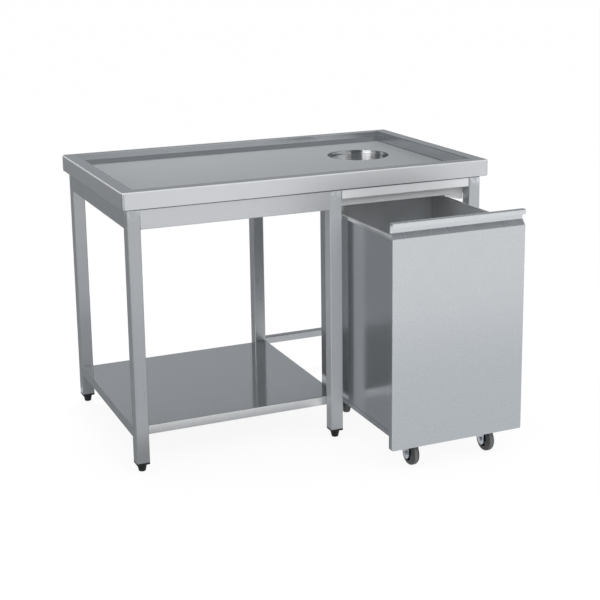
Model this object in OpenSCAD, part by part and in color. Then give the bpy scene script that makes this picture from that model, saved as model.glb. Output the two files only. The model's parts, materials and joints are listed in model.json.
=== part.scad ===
// Soiled dish table: a sunk worktop with a scrap chute, a six leg frame with an undershelf,
// and a waste bin trolley that stands partly pulled out of its bay.
// X runs to the right, Y to the back and Z up. The origin is on the floor, at the centre of the
// footprint of table and trolley together.

/* [Worktop] */
// Width of the worktop, left to right
table_w = 1200; // [1100:10:1500]
// Depth of the worktop, front to back
table_d = 730; // [700:10:900]
// Height of the rim above the floor
table_h = 850; // [820:5:950]
// Height of the skirt around the worktop
skirt_h = 52; // [45:1:70]
// Width of the inward return under the skirt
skirt_return = 14; // [10:1:18]
// Width of the flat rim at the left, right and front
rim_w = 44; // [35:1:60]
// Width of the flat rim at the rear
rear_rim_w = 20; // [16:1:40]
// Depth of the tray floor below the rim
recess_depth = 35; // [25:1:40]
// Radius of the worktop's upright corners
corner_r = 10; // [5:1:16]
// Radius of the tray's inner corners
tray_corner_r = 8; // [4:1:14]
// Thickness of the worktop's steel sheet
top_sheet = 1.5; // [1:0.1:2]

/* [Scrap chute] */
// Inner radius of the chute at the tray floor
chute_r = 104; // [80:1:120]
// Inward step of the chute's wall
chute_step = 3; // [2:0.5:5]
// Depth of the chute's upper stage
chute_upper_h = 14; // [8:1:20]
// Length of the chute below the tray floor
chute_len = 62; // [50:1:75]
// Width of the chute's flange under the tray floor
chute_flange_w = 12; // [8:1:18]
// Distance from the worktop's right edge to the chute's centre
chute_from_right = 240; // [200:5:300]
// Distance from the worktop's front edge to the chute's centre
chute_from_front = 455; // [420:5:480]

/* [Frame] */
// Side of the square legs
leg_side = 40; // [35:1:50]
// Wall of the legs
leg_wall = 1.5; // [1:0.1:2]
// Outer corner radius of the legs
leg_corner_r = 3; // [2:0.5:4]
// Distance from the worktop's left edge to the left legs
leg_inset_left = 14; // [10:1:30]
// Distance from the worktop's right edge to the right legs
leg_inset_right = 28; // [14:1:40]
// Distance from the worktop's front edge to the front legs
leg_inset_front = 5; // [3:1:12]
// Distance from the rear legs to the worktop's rear edge
leg_inset_rear = 32; // [20:1:50]
// Height of the legs' lower ends above the floor
leg_z = 30; // [27:1:40]
// Clear width of the bay for the trolley
bay_w = 445; // [435:1:460]
// Height of the aprons
apron_h = 60; // [50:1:66]
// Depth of the aprons' folded flanges
apron_flange = 25; // [15:1:30]
// Sheet of the aprons, rail and shelf
frame_sheet = 1.5; // [1:0.1:2]
// Height of the front rail over the bay
rail_h = 30; // [20:1:36]
// Gap between each end of the front rail and its leg
rail_gap = 1.5; // [0.5:0.5:3]
// Width of each keeper angle
keeper_w = 27; // [18:1:30]
// Drop of the keepers below the crossmember
keeper_drop = 16; // [8:1:18]
// Side of the stretchers' square tube
stretcher_side = 25; // [20:1:30]
// Height of the stretchers' centre line
stretcher_z = 125.5; // [110:0.5:160]

/* [Undershelf] */
// Height of the shelf's upper face
shelf_z = 130; // [110:5:300]
// Height of the shelf's edge flange
shelf_flange = 28; // [24:1:40]
// Width of the return under the shelf's flange
shelf_return = 10; // [6:1:14]
// Step of the shelf's left edge behind the legs' left faces
shelf_inset = 2; // [1:0.5:6]
// Width of the stiffener under the shelf
stiffener_w = 60; // [40:5:90]
// Height of the stiffener under the shelf
stiffener_h = 20; // [12:1:22]

/* [Levelling feet] */
// Thickness of the black plug's visible flange
plug_flange = 6; // [4:0.5:8]
// Length of the plug inside the leg
plug_len = 30; // [20:1:45]
// Diameter of the foot's upper end
foot_top_d = 30; // [26:1:34]
// Diameter of the foot's lower end
foot_base_d = 22; // [18:1:25]
// Rounding of the foot's lower edge
foot_round = 3; // [2:0.5:4]
// Diameter of the foot's threaded stud
stud_d = 10; // [8:1:12]
// Length of the stud above the foot
stud_len = 45; // [35:1:60]

/* [Waste bin] */
// Gap between each side of the bin's body and the bay
bin_side_gap = 18.5; // [17:0.5:30]
// Outer length of the bin's body, front to back
bin_l = 515; // [460:5:530]
// Gap between the bin's rim and the keepers over it
bin_clear = 6.5; // [3:0.5:60]
// Sheet of the bin
bin_sheet = 1.2; // [0.8:0.1:1.5]
// Width of the outward rim
bin_rim_w = 8; // [5:0.5:9]
// Height of the rim's down-turned lip
bin_rim_h = 10; // [6:1:14]
// Radius of the bin's lower rear edge
bin_heel_r = 18; // [10:1:25]
// Height of the base pan's upstand
base_upstand = 14; // [10:1:20]
// Length of the long slot in the upstand
slot_long = 47; // [30:1:60]
// Length of the short slot in the upstand
slot_short = 29; // [20:1:40]
// Height of both slots
slot_h = 8; // [5:1:9]
// Distance from the bin's front wall to the long slot
slot_from_front = 90; // [80:5:120]
// Bridge between the two slots
slot_bridge = 7; // [5:1:12]
// How far the trolley stands pulled out
pull_out = 351; // [200:1:380]

/* [Bin front] */
// Gap between each side of the front panel and its leg
panel_side_gap = 2; // [1:0.5:5]
// Height of the panel's lower edge above the floor
panel_z = 74.5; // [60:0.5:90]
// Height of the grip above the panel's upper edge
grip_h = 48; // [44:1:56]
// Depth of the panel's side returns
panel_d = 20; // [16:1:24]
// Sheet of the panel and its grip
panel_sheet = 1.5; // [1:0.1:2]
// Radius of the panel's lower corners
panel_corner_r = 5; // [3:0.5:8]
// Gap between the grip and the rail over it
grip_clear = 10; // [5:1:30]
// Depth of the grip, front to back
grip_d = 18; // [15:0.5:19]
// Height of the slanted band under the grip
grip_slant_h = 17; // [12:1:19]
// Height of the grip's front lip
grip_lip_h = 15; // [10:1:20]
// Step of the lip in front of the panel
grip_lip_step = 1; // [0:0.5:2]
// Width of the two spacer channels behind the panel
spacer_w = 40; // [30:1:60]

/* [Casters] */
// Diameter of the wheels
wheel_d = 75; // [60:1:80]
// Width of the wheels' tread
wheel_w = 25; // [20:1:30]
// Overall height of a caster
caster_h = 103; // [98:1:110]
// Distance from the swivel's axis to the axle
caster_trail = 28; // [20:1:30]
// Side of the square top plate
caster_plate = 60; // [58:1:64]
// Thickness of the top plate
caster_plate_t = 2.5; // [2:0.5:4]
// Distance from the bin's side walls to the swivels
caster_side_inset = 75; // [60:1:100]
// Distance from the bin's front wall to the front swivels
caster_front_inset = 62; // [60:1:90]
// Distance from the bin's rear wall to the rear swivels
caster_rear_inset = 35; // [32:1:70]
// Turn of the front casters about their swivels
front_turn = 0; // [0:5:360]
// Turn of the rear casters about their swivels
rear_turn = 160; // [0:5:360]

/* [Hidden] */
$fn = 64;
PLACES = ["front_left", "rear_left", "front_mid", "rear_mid", "front_right", "rear_right"];
CORNERS = ["front_left", "front_right", "rear_left", "rear_right"];

STEEL = [0.72, 0.74, 0.75];
POLISHED = [0.82, 0.84, 0.85];
DARK_STEEL = [0.5, 0.53, 0.55];
BOARD = [0.85, 0.84, 0.8];
BLACK = [0.06, 0.065, 0.07];
ZINC = [0.7, 0.71, 0.7];
TREAD = [0.3, 0.32, 0.33];

// Overrun of every cut, and the small gaps between pieces
over = 2;
move_gap = 0.3;
run_gap = 0.05;
fit_gap = 0.1;

// Heights of the worktop and the frame
frame_top = table_h - skirt_h;
tray_z = table_h - recess_depth;
apron_z = frame_top - apron_h;

// Places of the legs, as their lower left corners
leg_x_left = leg_inset_left;
leg_x_right = table_w - leg_inset_right - leg_side;
leg_x_mid = leg_x_right - bay_w - leg_side;
leg_y_front = leg_inset_front;
leg_y_rear = table_d - leg_inset_rear - leg_side;
frame_y0 = leg_y_front + leg_side;
LEGS = [[leg_x_left, leg_y_front], [leg_x_left, leg_y_rear], [leg_x_mid, leg_y_front],
        [leg_x_mid, leg_y_rear], [leg_x_right, leg_y_front], [leg_x_right, leg_y_rear]];
bay_x0 = leg_x_mid + leg_side;
bay_x1 = leg_x_right;
bay_mid = (bay_x0 + bay_x1) / 2;

// Screws that hold the shelf's flange to the legs
screw_d = 5;
screw_head_d = 9;
screw_head_h = 2.6;
screw_z = shelf_z - shelf_flange / 2;
SCREW_LEGS = [0, 1, 2, 3];

// Bin: closed, its grip stands just short of the crossmember
stop_gap = 1;
bin_w = bay_w - 2 * bin_side_gap;
bin_top = apron_z - keeper_drop - bin_clear;
panel_w = bay_w - 2 * panel_side_gap;
grip_top = frame_top - rail_h - grip_clear;
panel_top = grip_top - grip_h;
panel_closed_y = frame_y0 - stop_gap - grip_d;
panel_y = panel_closed_y - pull_out;
bin_y0 = panel_y + panel_d;
bin_y1 = bin_y0 + bin_l;
bin_x0 = bay_mid - bin_w / 2;
bin_x1 = bay_mid + bin_w / 2;
base_sheet = 1.5;
base_end = 5;
bin_floor = caster_h + base_sheet;
bin_edge_r = 3;
lip_y = -grip_lip_step;
spacer_inset = 45;
spacer_margin = 30;

// Casters: the swivels' places, in the order of CORNERS
swivel_x0 = bin_x0 + caster_side_inset;
swivel_x1 = bin_x1 - caster_side_inset;
swivel_y0 = bin_y0 + caster_front_inset;
swivel_y1 = bin_y1 - caster_rear_inset;
SWIVELS = [[swivel_x0, swivel_y0], [swivel_x1, swivel_y0],
           [swivel_x0, swivel_y1], [swivel_x1, swivel_y1]];
TURNS = [front_turn, front_turn, rear_turn, rear_turn];
king_d = 12;
king_head_d = 18;
king_head_h = 3;
race_d = 42;
race_h = 8;
fork_sheet = 2.5;
fork_crown_h = 3;
fork_lobe_r = 17;
fork_gap = 2.5;
fork_inside = wheel_w + 2 * fork_gap;
fork_w = fork_inside + 2 * fork_sheet;
fork_top = caster_h - caster_plate_t - move_gap;
crown_z = fork_top - race_h - fork_crown_h;
axle_z = wheel_d / 2;
axle_d = 8;
axle_head_d = 13;
axle_head_h = 5;
tyre_t = 10.5;
tread_round = 5;
tread_groove = 0.8;
hub_r = wheel_d / 2 - tyre_t;
hub_boss_r = 9;
hub_web = 9;
hub_rim = 4;
bolt_d = 6;
bolt_head_d = 10;
bolt_head_h = 4;
bolt_edge = 8;
bolt_pitch = caster_plate - 2 * bolt_edge;

// Middle of the footprint, front to back
mid_y = (panel_y + lip_y + table_d) / 2;

// Moves a shape from the worktop's front left corner to the part's own origin
module placed() {
    translate([-table_w / 2, -mid_y, 0]) children();
}

// A rectangle with round corners, from its lower left corner
module round_rect(w, d, r) {
    translate([r, 0]) square([w - 2 * r, d]);
    translate([0, r]) square([w, d - 2 * r]);
    for (x = [r, w - r], y = [r, d - r]) translate([x, y]) circle(r);
}

// A flat outline, drawn as Y and Z, pulled along X
module along_x(len) {
    rotate([90, 0, 90]) linear_extrude(len) children();
}

// A flat outline, drawn as X and Z, pulled along Y
module along_y(len) {
    translate([0, len, 0]) rotate([90, 0, 0]) linear_extrude(len) children();
}

// A folded C, its web on the left of the outline
module c_profile(depth, height, t) {
    difference() {
        square([depth, height]);
        translate([t, t]) square([depth, height - 2 * t]);
    }
}

// A square tube standing up
module square_tube(side, wall, len, r) {
    linear_extrude(len) difference() {
        round_rect(side, side, r);
        translate([wall, wall]) round_rect(side - 2 * wall, side - 2 * wall, r - wall);
    }
}

// Outline of the tray's inner wall, grown by a margin
module tray_outline(grow) {
    translate([rim_w - grow, rim_w - grow])
        round_rect(table_w - 2 * rim_w + 2 * grow, table_d - rim_w - rear_rim_w + 2 * grow,
                   tray_corner_r + grow);
}

// Outline of the worktop, shrunk by a margin
module top_outline(shrink) {
    translate([shrink, shrink])
        round_rect(table_w - 2 * shrink, table_d - 2 * shrink, corner_r - shrink);
}

// The folded worktop: skirt and return, flat rim, inner walls and tray floor
module worktop() {
    color(STEEL) placed() {
        translate([0, 0, frame_top]) linear_extrude(skirt_h) difference() {
            top_outline(0);
            top_outline(top_sheet);
        }
        translate([0, 0, frame_top]) linear_extrude(top_sheet) difference() {
            top_outline(0);
            translate([skirt_return, skirt_return])
                square([table_w - 2 * skirt_return, table_d - 2 * skirt_return]);
        }
        translate([0, 0, table_h - top_sheet]) linear_extrude(top_sheet) difference() {
            top_outline(0);
            tray_outline(0);
        }
        translate([0, 0, tray_z - top_sheet]) linear_extrude(recess_depth + top_sheet)
            difference() {
                tray_outline(top_sheet);
                tray_outline(0);
            }
        translate([0, 0, tray_z - top_sheet]) linear_extrude(top_sheet) difference() {
            tray_outline(top_sheet);
            chute_centre() circle(chute_r + top_sheet + fit_gap);
        }
    }
}

module chute_centre() {
    translate([table_w - chute_from_right, chute_from_front]) children();
}

// Board under the tray floor, which rests on the frame
module backing_board() {
    color(BOARD) placed()
        translate([0, 0, frame_top]) linear_extrude(tray_z - top_sheet - frame_top) difference() {
            tray_outline(-top_sheet);
            chute_centre() circle(chute_r + chute_flange_w + over);
        }
}

// Polished chute: an upper stage, a step, a lower stage and a flange under the tray floor
module chute() {
    lower_r = chute_r - chute_step;
    flange_z = -top_sheet;
    step_z = -chute_upper_h;
    color(POLISHED) placed() translate([0, 0, tray_z]) chute_centre()
        rotate_extrude($fn = 128) polygon([
            [chute_r, 0],
            [chute_r + top_sheet, 0],
            [chute_r + top_sheet, flange_z],
            [chute_r + chute_flange_w, flange_z],
            [chute_r + chute_flange_w, 2 * flange_z],
            [chute_r + top_sheet, 2 * flange_z],
            [chute_r + top_sheet, step_z - top_sheet],
            [lower_r + top_sheet, step_z - top_sheet],
            [lower_r + top_sheet, -chute_len],
            [lower_r, -chute_len],
            [lower_r, step_z],
            [chute_r, step_z]
        ]);
}

module front_apron() {
    x0 = leg_x_left + leg_side;
    color(STEEL) placed() translate([x0, leg_y_front, apron_z])
        along_x(leg_x_mid - x0) c_profile(apron_flange, apron_h, frame_sheet);
}

module left_apron() {
    color(STEEL) placed() translate([leg_x_left, frame_y0, apron_z])
        along_y(leg_y_rear - frame_y0) c_profile(apron_flange, apron_h, frame_sheet);
}

// An apron between two legs front to back, with its web on the right
module right_facing_apron(right_x) {
    color(STEEL) placed() translate([right_x, frame_y0, apron_z]) mirror([1, 0, 0])
        along_y(leg_y_rear - frame_y0) c_profile(apron_flange, apron_h, frame_sheet);
}

module mid_apron() {
    right_facing_apron(bay_x0);
}

module right_apron() {
    right_facing_apron(leg_x_right + leg_side);
}

// A rear apron between two legs, with its web at the back
module rear_apron(x0, x1) {
    color(STEEL) placed() translate([x0, leg_y_rear + leg_side, apron_z]) mirror([0, 1, 0])
        along_x(x1 - x0) c_profile(apron_flange, apron_h, frame_sheet);
}

module rear_apron_left() {
    rear_apron(leg_x_left + leg_side, leg_x_mid);
}

module rear_apron_right() {
    rear_apron(bay_x0, bay_x1);
}

// Low rail over the bay: front web, top flange back to the crossmember, small lower return
module bay_rail() {
    lower_return = apron_flange / 2;
    color(STEEL) placed() translate([bay_x0 + rail_gap, leg_y_front, frame_top - rail_h])
        along_x(bay_w - 2 * rail_gap) union() {
            square([frame_sheet, rail_h]);
            square([lower_return, frame_sheet]);
            translate([0, rail_h - frame_sheet]) square([leg_side, frame_sheet]);
        }
}

module bay_crossmember() {
    color(STEEL) placed() translate([bay_x0, frame_y0, apron_z])
        along_x(leg_x_right + leg_side - apron_flange - bay_x0)
            c_profile(apron_flange, apron_h, frame_sheet);
}

// A small angle under the crossmember that keeps the trolley's rim down
module bay_keeper(x0) {
    color(STEEL) placed() translate([x0, frame_y0, apron_z - keeper_drop])
        along_x(keeper_w) union() {
            square([frame_sheet, keeper_drop]);
            translate([0, keeper_drop - frame_sheet]) square([apron_flange, frame_sheet]);
        }
}

module bay_keeper_left() {
    bay_keeper(bay_x0);
}

module bay_keeper_right() {
    bay_keeper(bay_x1 - keeper_w);
}

stretcher_inset = (leg_side - stretcher_side) / 2;
stretcher_r = leg_corner_r - frame_sheet / 2;

module rear_stretcher() {
    color(STEEL) placed()
        translate([bay_x0, leg_y_rear + stretcher_inset, stretcher_z + stretcher_side / 2])
            rotate([0, 90, 0])
                square_tube(stretcher_side, frame_sheet, bay_w, stretcher_r);
}

module right_stretcher() {
    color(STEEL) placed()
        translate([leg_x_right + stretcher_inset, leg_y_rear, stretcher_z - stretcher_side / 2])
            rotate([90, 0, 0])
                square_tube(stretcher_side, frame_sheet, leg_y_rear - frame_y0, stretcher_r);
}

shelf_x0 = leg_x_left + shelf_inset;
shelf_w = bay_x0 - shelf_x0;
shelf_d = leg_y_rear - frame_y0;

// Holes for the shelf's screws, through the flange and the leg's wall behind it
module screw_holes() {
    for (i = SCREW_LEGS) screw_place(i) cylinder(h = 2 * leg_wall + 2 * over, d = screw_d, center = true);
}

// Places a shape on the contact face of shelf and leg, its Z axis pointing into the shelf
module screw_place(i) {
    at_front = LEGS[i][1] == leg_y_front;
    face_y = at_front ? frame_y0 : leg_y_rear;
    translate([LEGS[i][0] + leg_side / 2, face_y, screw_z])
        rotate([at_front ? -90 : 90, 0, 0]) children();
}

// Shelf: a flat sheet with flanges turned down all round and a return under them
module undershelf() {
    color(STEEL) placed() difference() {
        translate([shelf_x0, frame_y0, shelf_z - shelf_flange]) difference() {
            cube([shelf_w, shelf_d, shelf_flange]);
            translate([frame_sheet, frame_sheet, frame_sheet])
                cube([shelf_w - 2 * frame_sheet, shelf_d - 2 * frame_sheet,
                      shelf_flange - 2 * frame_sheet]);
            translate([shelf_return, shelf_return, -over])
                cube([shelf_w - 2 * shelf_return, shelf_d - 2 * shelf_return, shelf_flange / 2]);
        }
        screw_holes();
    }
}

// Channel under the shelf's middle, open downwards
module shelf_stiffener() {
    color(STEEL) placed()
        translate([shelf_x0 + frame_sheet + fit_gap, frame_y0 + (shelf_d - stiffener_w) / 2,
                   shelf_z - frame_sheet - stiffener_h])
            along_x(shelf_w - 2 * frame_sheet - 2 * fit_gap) difference() {
                square([stiffener_w, stiffener_h]);
                translate([frame_sheet, -frame_sheet])
                    square([stiffener_w - 2 * frame_sheet, stiffener_h]);
            }
}

module shelf_screws() {
    color(ZINC) placed() for (i = SCREW_LEGS) screw_place(i) {
        translate([0, 0, frame_sheet]) cylinder(h = screw_head_h, d = screw_head_d);
        translate([0, 0, -2 * leg_wall]) cylinder(h = frame_sheet + 2 * leg_wall, d = screw_d - fit_gap);
    }
}

module leg(i) {
    color(STEEL) placed() difference() {
        translate([LEGS[i][0], LEGS[i][1], leg_z])
            square_tube(leg_side, leg_wall, frame_top - leg_z, leg_corner_r);
        screw_holes();
    }
}

// Square end plugs with a threaded hole for the feet's studs
module leg_plugs() {
    inner = leg_side - 2 * leg_wall - 2 * fit_gap;
    color(BLACK) placed() for (p = LEGS)
        translate([p[0] + leg_side / 2, p[1] + leg_side / 2, leg_z - plug_flange]) difference() {
            union() {
                translate([-leg_side / 2, -leg_side / 2, 0])
                    linear_extrude(plug_flange) round_rect(leg_side, leg_side, leg_corner_r);
                translate([-inner / 2, -inner / 2, 0])
                    linear_extrude(plug_flange + plug_len)
                        round_rect(inner, inner, leg_corner_r - leg_wall);
            }
            translate([0, 0, -over])
                cylinder(h = plug_flange + plug_len + 2 * over, d = stud_d + 2 * run_gap);
        }
}

// Tapered levelling foot with its stud
module foot(i) {
    foot_h = leg_z - plug_flange - move_gap;
    base_r = foot_base_d / 2 - foot_round;
    color(BLACK) placed() translate([LEGS[i][0] + leg_side / 2, LEGS[i][1] + leg_side / 2, 0])
        rotate_extrude() polygon(concat(
            [[0, 0]],
            [for (a = [0 : 15 : 75])
                [base_r + foot_round * sin(a), foot_round * (1 - cos(a))]],
            [[foot_top_d / 2, foot_h - foot_round / 2],
             [foot_top_d / 2 - foot_round / 2, foot_h],
             [stud_d / 2, foot_h],
             [stud_d / 2, foot_h + stud_len],
             [0, foot_h + stud_len]]
        ));
}

// Side outline of the bin's vessel, as Y and Z from its lower front corner, with a round heel
module vessel_outline(l, h, r) {
    square([l - r, h]);
    translate([0, r]) square([l, h - r]);
    translate([l - r, r]) circle(r);
}

// Bin vessel: walls and floor with a round heel, and an outward rim with a lip
module bin_body() {
    h = bin_top - bin_floor;
    rim_l = bin_l + 2 * bin_rim_w;
    rim_all_w = bin_w + 2 * bin_rim_w;
    color(DARK_STEEL) placed() translate([bin_x0, bin_y0, bin_floor]) {
        difference() {
            along_x(bin_w) vessel_outline(bin_l, h, bin_heel_r);
            translate([bin_sheet, bin_sheet, bin_sheet])
                along_x(bin_w - 2 * bin_sheet)
                    vessel_outline(bin_l - 2 * bin_sheet, h, bin_heel_r - bin_sheet);
        }
        translate([-bin_rim_w, -bin_rim_w, h - bin_sheet]) linear_extrude(bin_sheet) difference() {
            round_rect(rim_all_w, rim_l, bin_edge_r);
            translate([bin_rim_w + bin_sheet, bin_rim_w + bin_sheet])
                square([bin_w - 2 * bin_sheet, bin_l - 2 * bin_sheet]);
        }
        translate([-bin_rim_w, -bin_rim_w, h - bin_rim_h]) linear_extrude(bin_rim_h) difference() {
            round_rect(rim_all_w, rim_l, bin_edge_r);
            translate([bin_sheet, bin_sheet])
                round_rect(rim_all_w - 2 * bin_sheet, rim_l - 2 * bin_sheet, bin_edge_r - bin_sheet);
        }
    }
}

// Base pan under the vessel: a plate with an upstand at each side, slots and bolt holes
module bin_base() {
    pan_w = bin_w + 2 * base_sheet;
    upstand_l = bin_l - bin_heel_r;
    slot2_from_front = slot_from_front + slot_long + slot_bridge;
    color(DARK_STEEL) placed() difference() {
        translate([bin_x0 - base_sheet, bin_y0, caster_h]) difference() {
            union() {
                cube([pan_w, upstand_l, base_upstand]);
                cube([pan_w, bin_l - base_end, base_sheet]);
            }
            translate([base_sheet, -over, base_sheet])
                cube([bin_w, bin_l + 2 * over, base_upstand]);
            for (s = [[slot_from_front, slot_long], [slot2_from_front, slot_short]],
                 x = [-over, pan_w - base_sheet - over])
                translate([x, s[0], base_sheet])
                    cube([base_sheet + 2 * over, s[1], slot_h]);
        }
        for (s = SWIVELS) translate([s[0], s[1], 0]) bolt_places()
            translate([0, 0, caster_h - over]) cylinder(h = base_sheet + 2 * over, d = bolt_d + 2 * fit_gap);
    }
}

// Front view outline of the panel, as X and Z, with round lower corners
module panel_outline(w, h, r) {
    translate([0, r]) square([w, h - r]);
    translate([r, 0]) square([w - 2 * r, r]);
    for (x = [r, w - r]) translate([x, r]) circle(r);
}

// Bin front: the panel with side and lower returns, and the grip folded from its top edge
module bin_front() {
    h = panel_top - panel_z;
    t = panel_sheet;
    web_z = h + grip_slant_h;
    top = grip_top - panel_z;
    color(STEEL) placed() translate([bay_mid - panel_w / 2, panel_y, panel_z]) {
        difference() {
            along_y(panel_d) panel_outline(panel_w, h, panel_corner_r);
            translate([t, t, t]) along_y(panel_d)
                panel_outline(panel_w - 2 * t, h, panel_corner_r - t);
        }
        along_x(panel_w) polygon([
            [0, h - t],
            [0, h],
            [grip_d - t, web_z],
            [grip_d - t, top - t],
            [lip_y + t, top - t],
            [lip_y + t, top - grip_lip_h],
            [lip_y, top - grip_lip_h],
            [lip_y, top],
            [grip_d, top],
            [grip_d, web_z - t / 2],
            [t, h - t / 2],
            [t, h - t]
        ]);
    }
}

// A channel between the panel and the bin's front wall, open at the back
module panel_spacer(x0) {
    low = bin_floor + spacer_margin;
    color(STEEL) placed() translate([x0, panel_y + panel_sheet, low])
        linear_extrude(bin_top - bin_rim_h - spacer_margin - low) difference() {
            square([spacer_w, panel_d - panel_sheet]);
            translate([panel_sheet, panel_sheet])
                square([spacer_w - 2 * panel_sheet, panel_d]);
        }
}

module panel_spacer_left() {
    panel_spacer(bin_x0 + spacer_inset);
}

module panel_spacer_right() {
    panel_spacer(bin_x1 - spacer_inset - spacer_w);
}

// The four bolt places of a caster's plate, about its swivel
module bolt_places() {
    for (x = [-1, 1], y = [-1, 1]) translate([x * bolt_pitch / 2, y * bolt_pitch / 2, 0]) children();
}

// Moves a caster's piece to its swivel and turns it
module at_swivel(i) {
    placed() translate([SWIVELS[i][0], SWIVELS[i][1], 0]) rotate([0, 0, TURNS[i]]) children();
}

// Moves a wheel's piece to its axle, its Z axis along the axle
module at_axle(i) {
    at_swivel(i) translate([0, -caster_trail, axle_z]) rotate([0, 90, 0]) children();
}

// Bolts and nuts that hold the caster plates under the base pan and the vessel's floor
module caster_bolts() {
    color(ZINC) placed() for (s = SWIVELS) translate([s[0], s[1], 0]) bolt_places() {
        translate([0, 0, caster_h - caster_plate_t - bolt_head_h])
            cylinder(h = bolt_head_h, d = bolt_head_d, $fn = 6);
        translate([0, 0, caster_h - caster_plate_t])
            cylinder(h = caster_plate_t + base_sheet, d = bolt_d);
    }
}

// Top plate with its king pin, which the fork turns on
module caster_plate_piece(i) {
    pin_low = fork_top - race_h - fork_crown_h - move_gap;
    color(ZINC) placed() translate([SWIVELS[i][0], SWIVELS[i][1], 0]) {
        difference() {
            translate([-caster_plate / 2, -caster_plate / 2, caster_h - caster_plate_t])
                linear_extrude(caster_plate_t) round_rect(caster_plate, caster_plate, bolt_d);
            bolt_places() translate([0, 0, caster_h - caster_plate_t - over])
                cylinder(h = caster_plate_t + 2 * over, d = bolt_d + 2 * fit_gap);
        }
        translate([0, 0, pin_low]) cylinder(h = caster_h - caster_plate_t - pin_low, d = king_d);
        translate([0, 0, pin_low - king_head_h]) cylinder(h = king_head_h, d = king_head_d);
    }
}

// One side of the fork, as Y and Z
module fork_side_outline() {
    translate([-caster_trail, axle_z]) circle(fork_lobe_r);
    polygon([
        [-caster_trail - fork_lobe_r, axle_z],
        [-caster_trail - fork_lobe_r, axle_z + fork_lobe_r],
        [-race_d / 2, crown_z + fork_crown_h],
        [race_d / 2, crown_z + fork_crown_h],
        [race_d / 2, crown_z - fork_crown_h],
        [-caster_trail + fork_lobe_r, axle_z]
    ]);
}

// Fork: two side plates, the crown over the wheel and the race under the top plate
module caster_fork_piece(i) {
    color(ZINC) at_swivel(i) difference() {
        union() {
            for (x = [-fork_w / 2, fork_inside / 2])
                translate([x, 0, 0]) along_x(fork_sheet) fork_side_outline();
            translate([-fork_w / 2, -race_d / 2, crown_z]) cube([fork_w, race_d, fork_crown_h]);
            translate([0, 0, crown_z]) cylinder(h = race_h + fork_crown_h, d = race_d);
        }
        translate([0, 0, crown_z - over])
            cylinder(h = race_h + fork_crown_h + 2 * over, d = king_d + 2 * run_gap);
        translate([-fork_w, -caster_trail, axle_z]) rotate([0, 90, 0])
            cylinder(h = 2 * fork_w, d = axle_d + 2 * fit_gap);
    }
}

// Axle bolt with its head and nut outside the fork
module caster_axle_piece(i) {
    color(ZINC) at_axle(i) {
        cylinder(h = fork_w + 2 * axle_head_h, d = axle_d, center = true);
        for (s = [-1, 1]) translate([0, 0, s * (fork_w + axle_head_h) / 2])
            cylinder(h = axle_head_h, d = axle_head_d, center = true, $fn = 6);
    }
}

// Wheel hub: boss, web and rim
module caster_hub_piece(i) {
    boss_w = fork_inside - 2 * move_gap;
    bore_r = axle_d / 2 + run_gap;
    color(BLACK) at_axle(i) rotate_extrude() {
        translate([bore_r, -boss_w / 2]) square([hub_boss_r - bore_r, boss_w]);
        translate([hub_boss_r - hub_rim / 2, -hub_web / 2]) square([hub_r - hub_boss_r, hub_web]);
        translate([hub_r - hub_rim, -wheel_w / 2]) square([hub_rim, wheel_w]);
    }
}

// Tyre with a crowned tread and a shallow groove on each shoulder
module caster_tyre_piece(i) {
    r = wheel_d / 2;
    color(TREAD) at_axle(i) rotate_extrude() difference() {
        union() {
            translate([hub_r, -wheel_w / 2]) square([r - tread_round - hub_r, wheel_w]);
            translate([hub_r, tread_round - wheel_w / 2])
                square([r - hub_r, wheel_w - 2 * tread_round]);
            for (s = [-1, 1]) translate([r - tread_round, s * (wheel_w / 2 - tread_round)])
                circle(tread_round);
        }
        for (s = [-1, 1]) translate([r, s * (wheel_w / 2 - tread_round)]) circle(tread_groove);
    }
}

worktop();
backing_board();
chute();
front_apron();
left_apron();
mid_apron();
right_apron();
rear_apron_left();
rear_apron_right();
bay_rail();
bay_crossmember();
bay_keeper_left();
bay_keeper_right();
rear_stretcher();
right_stretcher();
undershelf();
shelf_stiffener();
shelf_screws();
leg_plugs();
bin_body();
bin_base();
bin_front();
panel_spacer_left();
panel_spacer_right();
caster_bolts();
for (i = [0 : len(PLACES) - 1]) {
    leg(i);
    foot(i);
}
for (i = [0 : len(CORNERS) - 1]) {
    caster_plate_piece(i);
    caster_fork_piece(i);
    caster_axle_piece(i);
    caster_hub_piece(i);
    caster_tyre_piece(i);
}
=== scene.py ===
"""Dresses the packed soiled dish table and its waste bin trolley, in a plain studio.

Every piece is in metres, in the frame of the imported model: X to the right, Y to the back, Z up.
"""
from __future__ import annotations

import json
import logging
import math
from collections.abc import Callable, Sequence
from dataclasses import dataclass, field
from enum import Enum

import bmesh
import bpy
from mathutils import Matrix, Vector

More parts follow.
